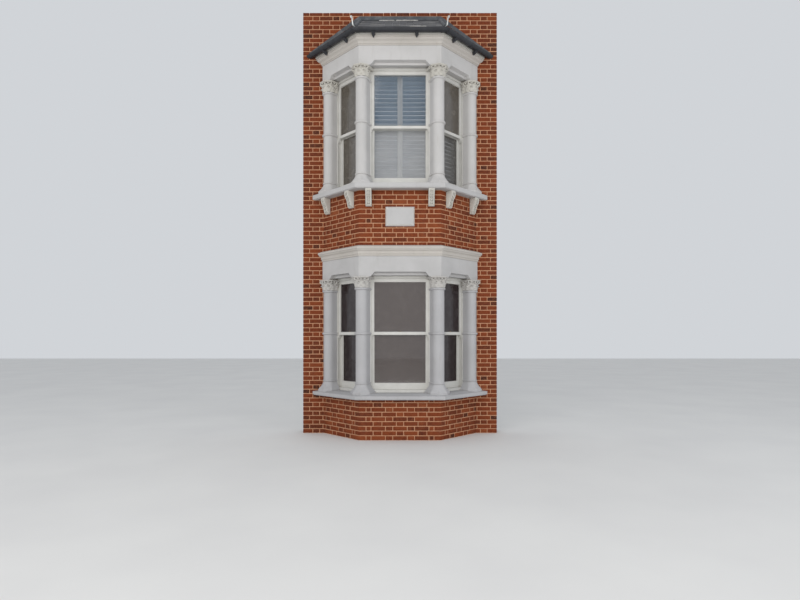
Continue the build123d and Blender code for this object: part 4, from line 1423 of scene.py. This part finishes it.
def shutter_leaf(shape, matrix, x, low, high, panels):
    """One leaf: stiles, rails, the blades of each panel, with hinges and a knob on the room side."""
    y = (SHUTTER_AT - SHUTTER_HALF_THICK, SHUTTER_AT + SHUTTER_HALF_THICK)
    left, right = x[0] + SHUTTER_STILE, x[1] - SHUTTER_STILE
    block(shape, matrix, (x[0], left), y, (low, high), SHUTTER_ARRIS)
    block(shape, matrix, (right, x[1]), y, (low, high), SHUTTER_ARRIS)
    edges = [low] + [level for panel in panels for level in panel[:2]] + [high]
    rail_x, rail_y = (left - RAIL_TENON, right + RAIL_TENON), (y[0] + 0.0005, y[1] - 0.0005)
    for rail in zip(edges[::2], edges[1::2]):
        block(shape, matrix, rail_x, rail_y, rail, SHUTTER_ARRIS)
    for foot, head, angle in panels:
        count = round((head - foot) / BLADE_PITCH)
        pitch = (head - foot) / count
        for row in range(count):
            level = foot + (row + 0.5) * pitch
            blade(shape, matrix, (left - BLADE_TENON, right + BLADE_TENON), level, angle)
    hinge_x = x[0] if abs(x[0]) > abs(x[1]) else x[1]
    for level in (low + HINGE_IN, (low + high) / 2 + HINGE_OVER_MIDDLE, high - HINGE_IN):
        ends = (level - HINGE_HALF, level, level + HINGE_HALF)
        tube(shape, [matrix @ Vector((hinge_x, y[1] - 0.001, z)) for z in ends], HINGE)
    knob_x = x[0] + x[1] - hinge_x + math.copysign(SHUTTER_STILE / 2, hinge_x)
    bead(shape, matrix, (knob_x, y[1] + 0.006, low + KNOB_RISE), SHUTTER_KNOB, 7, 12)


def build_shutters():
    """Two leaves behind the upper centre window, and a half leaf behind the upper right one."""
    foot, _, top = STOREYS["first"]
    low, meeting, high = foot + FRAME_SILL, foot + MEETING_AT, top + HEAD_RISE - FRAME_HEAD / 2
    panels = (
        (low + SHUTTER_RAIL, meeting - SHUTTER_RAIL / 2, SHUT_BLADES),
        (meeting + SHUTTER_RAIL / 2, high - SHUTTER_RAIL, OPEN_BLADES),
    )
    shape = Shape()
    half, right_half = (OPENINGS[0] - LINING) / 2, (OPENINGS[1] - LINING) / 2
    for x in ((-half, -SHUTTER_GAP / 2), (SHUTTER_GAP / 2, half)):
        shutter_leaf(shape, plan_matrix(0), x, low, high, panels)
    shutter_leaf(shape, plan_matrix(1), (-right_half, right_half), low, meeting, panels[:1])
    # white paint for stiles and rails, painted shade on the two kinds of blade
    paints = (SHUTTER, SHUT_BLADE, OPEN_BLADE)
    shape.build("first_shutter_leaves", paints, "shutter_paint", "first_shutters", 35)


# ---------------------------------------------------------------- consoles, floors and gutter

PLAQUE_MARGIN = 0.020
PLAQUE_HOLLOW = 0.026
HOLLOW_STEPS = 6
PLAQUE_BEAD = 0.0048
PANEL_SINK = 0.001
PANEL_RISE = 0.0015
PANEL_ARRIS = 0.0006
CONSOLE_FROM_CORNER = 0.178
CONSOLE_FROM_WALL = 0.148
CONSOLE_AT_FRONT = 0.494
CONSOLE_PLACES = {
    -1: (FACE_LENGTH / 2 - CONSOLE_FROM_CORNER, -FACE_LENGTH / 2 + CONSOLE_FROM_WALL),
    0: (-CONSOLE_AT_FRONT, CONSOLE_AT_FRONT),
    1: (-FACE_LENGTH / 2 + CONSOLE_FROM_CORNER, FACE_LENGTH / 2 - CONSOLE_FROM_WALL),
}
CONSOLE_REACH = 0.06
CONSOLE_BEADS = 5
CONSOLE_BEAD = (0.016, 0.0125, 0.017)
BEADS_FROM_TOP = 0.054
BEAD_PITCH = 0.041
RIB = 0.0105
RIB_AT = 0.033
RIB_FROM_TOP = 0.030
RIB_OVER_FOOT = 0.022
RIB_STEPS = 14
RIB_PROUD = 0.004
CROSS_RIB = 0.0075
CROSS_RIB_HALF = 0.045
BOARD_WEAR = 0.006
BOARD_WIDTH = 0.118
BOARD_GAP = 0.0015
BOARD_ARRIS = 0.0012
BOARD_DROP = 0.0003
NARROWEST_BOARD = 0.01
GUTTER_RADIUS = 0.050
GUTTER_CENTRE = 0.142
GUTTER_RIM = 0.1895
RIM_BEAD = 0.0052
RIM_DROP = 0.004
COLLAR = 0.026
COLLAR_THICK = 0.0045
COLLAR_WRAP = (radians(-186), radians(6))
COLLAR_STEPS = 16
COLLAR_FROM_MITRE = 0.05
COLLAR_TO_WALL = 0.10
BOLT = 0.006
BOLT_RISE = 0.012
BOLT_OUT = 0.045


def build_plaque_panel():
    """A plain panel with hollowed corners, inside a bead, on the blank plaque."""
    low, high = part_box("plaque")
    out = -low.y - PROJECTION
    half, foot, head = high.x - PLAQUE_MARGIN, low.z + PLAQUE_MARGIN, high.z - PLAQUE_MARGIN
    outline = []
    for corner, first in zip(rectangle(half, -half, head, foot), (1.5 * pi, 0.0, 0.5 * pi, pi)):
        for a in arc(first, first - pi / 2, HOLLOW_STEPS):
            outline.append(corner + PLAQUE_HOLLOW * Vector((cos(a), sin(a))))
    panel = Shape()
    prism(panel, outline, out - PANEL_SINK, out + PANEL_RISE, PANEL_ARRIS, matrix=face_matrix(0))
    panel.build("plaque_panel", STONE_LOWER, "painted_stone", "plaque")
    rim = Shape()
    tube(rim, [face_matrix(0) @ Vector((p.x, p.y, out)) for p in outline], PLAQUE_BEAD, closed=True)
    rim.build("plaque_bead", CARVED_UPPER, "painted_stone", "plaque", 50)


def console_front():
    """Levels and distances out of the face of the bay, down the front of a console."""
    inverse = face_matrix(0).inverted()
    rows = {}
    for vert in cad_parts["consoles"].data.vertices:
        p = inverse @ vert.co
        if abs(p.x + CONSOLE_AT_FRONT) < CONSOLE_REACH and p.z > -BRICK_SETBACK + 0.001:
            rows[round(p.y, 4)] = max(rows.get(round(p.y, 4), -1.0), p.z)
    return sorted(rows.items())


def along_front(rows, level):
    """Distance out of a console's front at a level."""
    for (low, out_low), (high, out_high) in zip(rows, rows[1:]):
        if low <= level <= high:
            return out_low + (out_high - out_low) * (level - low) / (high - low)
    return rows[-1][1] if level > rows[-1][0] else rows[0][1]


def build_console_carving():
    """A string of carved beads between two ribs down the front of each console."""
    shape = Shape()
    foot, top = span("consoles")
    rows = console_front()
    levels = arc(top - RIB_FROM_TOP, foot + RIB_OVER_FOOT, RIB_STEPS)
    for side, places in CONSOLE_PLACES.items():
        m = face_matrix(side)
        for spot in places:
            for row in range(CONSOLE_BEADS):
                level = top - BEADS_FROM_TOP - row * BEAD_PITCH
                centre = (spot, level, along_front(rows, level) + 0.001)
                bead(shape, m, centre, CONSOLE_BEAD, 7, 12)
            for x in (spot - RIB_AT, spot + RIB_AT):
                line = [m @ Vector((x, level, along_front(rows, level) + RIB_PROUD)) for level in levels]
                tube(shape, line, RIB)
            for level in (levels[0], levels[-1]):
                out = along_front(rows, level)
                ends = [m @ Vector((spot + x, level, out)) for x in (-CROSS_RIB_HALF, CROSS_RIB_HALF)]
                tube(shape, ends, CROSS_RIB)
    shape.build("console_beads", CARVED_UPPER, "painted_stone", "consoles", 50)


def lay_boards(cad_node):
    """Separate floorboards over the CAD floor, which is lowered by their wear thickness."""
    low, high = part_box(cad_node)
    mesh = cad_copy(cad_node, BOARDS)
    for vert in mesh.vertices:
        if vert.co.z > high.z - 0.0005:
            vert.co.z -= BOARD_WEAR
    place(f"{cad_node}_bearers", mesh, "floorboards", cad_node)
    outline = bay_outline(-BAY_INSIDE - 0.001)
    shape = Shape()
    y = low.y
    while y < high.y - NARROWEST_BOARD:
        strip = rectangle(-2, 2, y, min(y + BOARD_WIDTH, high.y) - BOARD_GAP)
        strip = clip_to(strip, outline)
        if len(strip) >= 3:
            foot, head = high.z - BOARD_WEAR, high.z - BOARD_DROP
            prism(shape, strip, foot, head, BOARD_ARRIS, random.random())
        y += BOARD_WIDTH
    shape.build(f"{cad_node}_boards", BOARDS, "floorboards", cad_node)


def build_gutter_details():
    """A bead along the rim, and a collar at each joint of the gutter."""
    low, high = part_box("gutter")
    shape = Shape()
    tube(shape, [Vector((p.x, p.y, high.z - RIM_DROP)) for p in bay_outline(GUTTER_RIM)], RIM_BEAD)
    inside, outside = GUTTER_RADIUS - 0.0005, GUTTER_RADIUS + COLLAR_THICK
    for side in (-1, 0, 1):
        m = face_matrix(side)
        edge = (FACE_LENGTH / 2 if side else HALF_FRONT) + GUTTER_CENTRE * tan(HALF_CANT) - COLLAR_FROM_MITRE
        for spot in (-side * edge, side * COLLAR_TO_WALL) if side else (-edge, edge):
            verts = []
            for a in arc(*COLLAR_WRAP, COLLAR_STEPS):
                for x, r in ((-COLLAR, outside), (COLLAR, outside), (COLLAR, inside), (-COLLAR, inside)):
                    verts.append((spot + x, low.z + GUTTER_RADIUS + sin(a) * r, GUTTER_CENTRE + cos(a) * r))
            shape.add(verts, skin(COLLAR_STEPS + 1, 4), matrix=m)
            bead(shape, m, (spot, low.z + BOLT_RISE, GUTTER_CENTRE + BOLT_OUT), (BOLT,) * 3, 5, 8)
    shape.build("gutter_collars", GUTTER_IRON, "gutter_iron", "gutter", 50)


# ---------------------------------------------------------------- plain pieces and studio

DRESSED_ARRIS = 0.002
MOULDING_ARRIS = 0.0025
JOINERY_ARRIS = 0.0015
FINE_ARRIS = 0.001
GLASS_ARRIS = 0.0005
FINE_CURVES = 24
FLOOR_SIZE = 60
AIR_COLOUR, AIR_STRENGTH = (0.86, 0.89, 0.93, 1), 0.74
# Of each soft light: name, place, aim, size, power and colour
LIGHTS = (
    ("key", (-5.5, -13.0, 8.0), (0, 0, 3.6), 9.0, 650, (1.0, 0.985, 0.965)),
    ("fill", (9.0, -8.0, 4.0), (0, 0, 3.2), 7.0, 220, (0.94, 0.97, 1.0)),
    ("low", (0.5, -11.5, 0.9), (0, 0, 5.0), 6.0, 375, (1.0, 0.965, 0.91)),
)
SENSOR_MM, LENS_MM = 36, 24
CAMERA_SHIFT = 0.045
CAMERA_DISTANCE = 9.07
CAMERA_HEIGHT = 1.65


def soften_glass(storey, kinds):
    """The panes of a storey; kinds: front lower, side, front upper, lower right."""
    glass = soften(f"{storey}_glass", kinds[0], "window_glass", GLASS_ARRIS, 1).data
    for kind in kinds[1:]:
        glass.materials.append(kind)
    meeting = STOREYS[storey][0] + MEETING_AT
    # each pane takes the tinted glass of its place, with its own painted reflection and painted shade
    for face in glass.polygons:
        high = face.center.z > meeting
        if abs(face.center.x) < OPENINGS[0] / 2:
            face.material_index = 2 if high else 0
        else:
            face.material_index = 3 if face.center.x > 0 and not high else 1


def build_plain_pieces():
    soften("ground_sill", STONE_DARKEST, "painted_stone")
    soften("first_sill", STONE_LOWER, "painted_stone")
    for storey, stone in (("ground", STONE_LOWER), ("first", STONE_UPPER)):
        soften(f"{storey}_frieze", stone, "painted_stone", DRESSED_ARRIS)
        soften(f"{storey}_cornice", STONE_CORNICE, "painted_stone", MOULDING_ARRIS, angle=FINE_CURVES)
        for name in NAMES.values():
            soften(f"{storey}_{name}_frame", JOINERY, "joinery", JOINERY_ARRIS)
            soften(f"{storey}_{name}_sashes", JOINERY, "joinery", JOINERY_ARRIS)
        lay_boards(f"{storey}_floor")
        soften(f"{storey}_ceiling", PLASTER, "plaster", FINE_ARRIS, 1)
    soften("plaque", STONE_UPPER, "painted_stone")
    soften("consoles", CARVED_UPPER, "painted_stone", angle=FINE_CURVES)
    soften("fascia", JOINERY, "joinery", DRESSED_ARRIS)
    soften("gutter", GUTTER_IRON, "gutter_iron", FINE_ARRIS, 1)
    soften("gutter_brackets", GUTTER_IRON, "gutter_iron", JOINERY_ARRIS, 1)
    soften("flashing", LEAD, "lead", FINE_ARRIS, 1)
    soften_glass("ground", (GLASS_GROUND, GLASS_GROUND_SIDE, GLASS_GROUND, GLASS_GROUND_SIDE))
    soften_glass("first", (GLASS_FRONT, GLASS_SIDE, GLASS_UPPER, GLASS_SHUTTERED))


def build_studio():
    """Pale floor, even air, three soft lights and the camera in the street."""
    scene = bpy.context.scene
    bpy.ops.mesh.primitive_plane_add(size=FLOOR_SIZE, location=(0, 0, 0))
    floor = bpy.context.active_object
    floor.name = "studio_floor"
    floor.data.materials.append(FLOOR)

    scene.world = bpy.data.worlds.new("studio_air")
    scene.world.use_nodes = True
    background = scene.world.node_tree.nodes["Background"]
    background.inputs["Color"].default_value = AIR_COLOUR
    background.inputs["Strength"].default_value = AIR_STRENGTH

    for name, spot, aim, size, power, colour in LIGHTS:
        light = bpy.data.lights.new(name, "AREA")
        light.shape = "SQUARE"
        light.size = size
        light.energy = power
        light.color = colour
        lamp = bpy.data.objects.new(name, light)
        lamp.location = spot
        lamp.rotation_mode = "QUATERNION"
        lamp.rotation_quaternion = (Vector(aim) - Vector(spot)).to_track_quat("-Z", "Y")
        lamp.visible_glossy = name != "low"
        scene.collection.objects.link(lamp)

    camera_data = bpy.data.cameras.new("street_view")
    camera_data.sensor_width = SENSOR_MM
    camera_data.lens = LENS_MM
    camera_data.shift_y = CAMERA_SHIFT
    camera = bpy.data.objects.new("street_view", camera_data)
    camera.location = (0.0, -CAMERA_DISTANCE, CAMERA_HEIGHT)
    camera.rotation_euler = (radians(90), 0, 0)
    scene.collection.objects.link(camera)
    scene.camera = camera
    scene.view_settings.view_transform = "Standard"


build_brickwork()
build_columns()
build_capitals()
build_roof()
build_hips()
build_hip_irons()
build_roof_repairs()
build_putty()
build_sash_furniture()
build_shutters()
build_plaque_panel()
build_console_carving()
build_gutter_details()
build_plain_pieces()
build_studio()
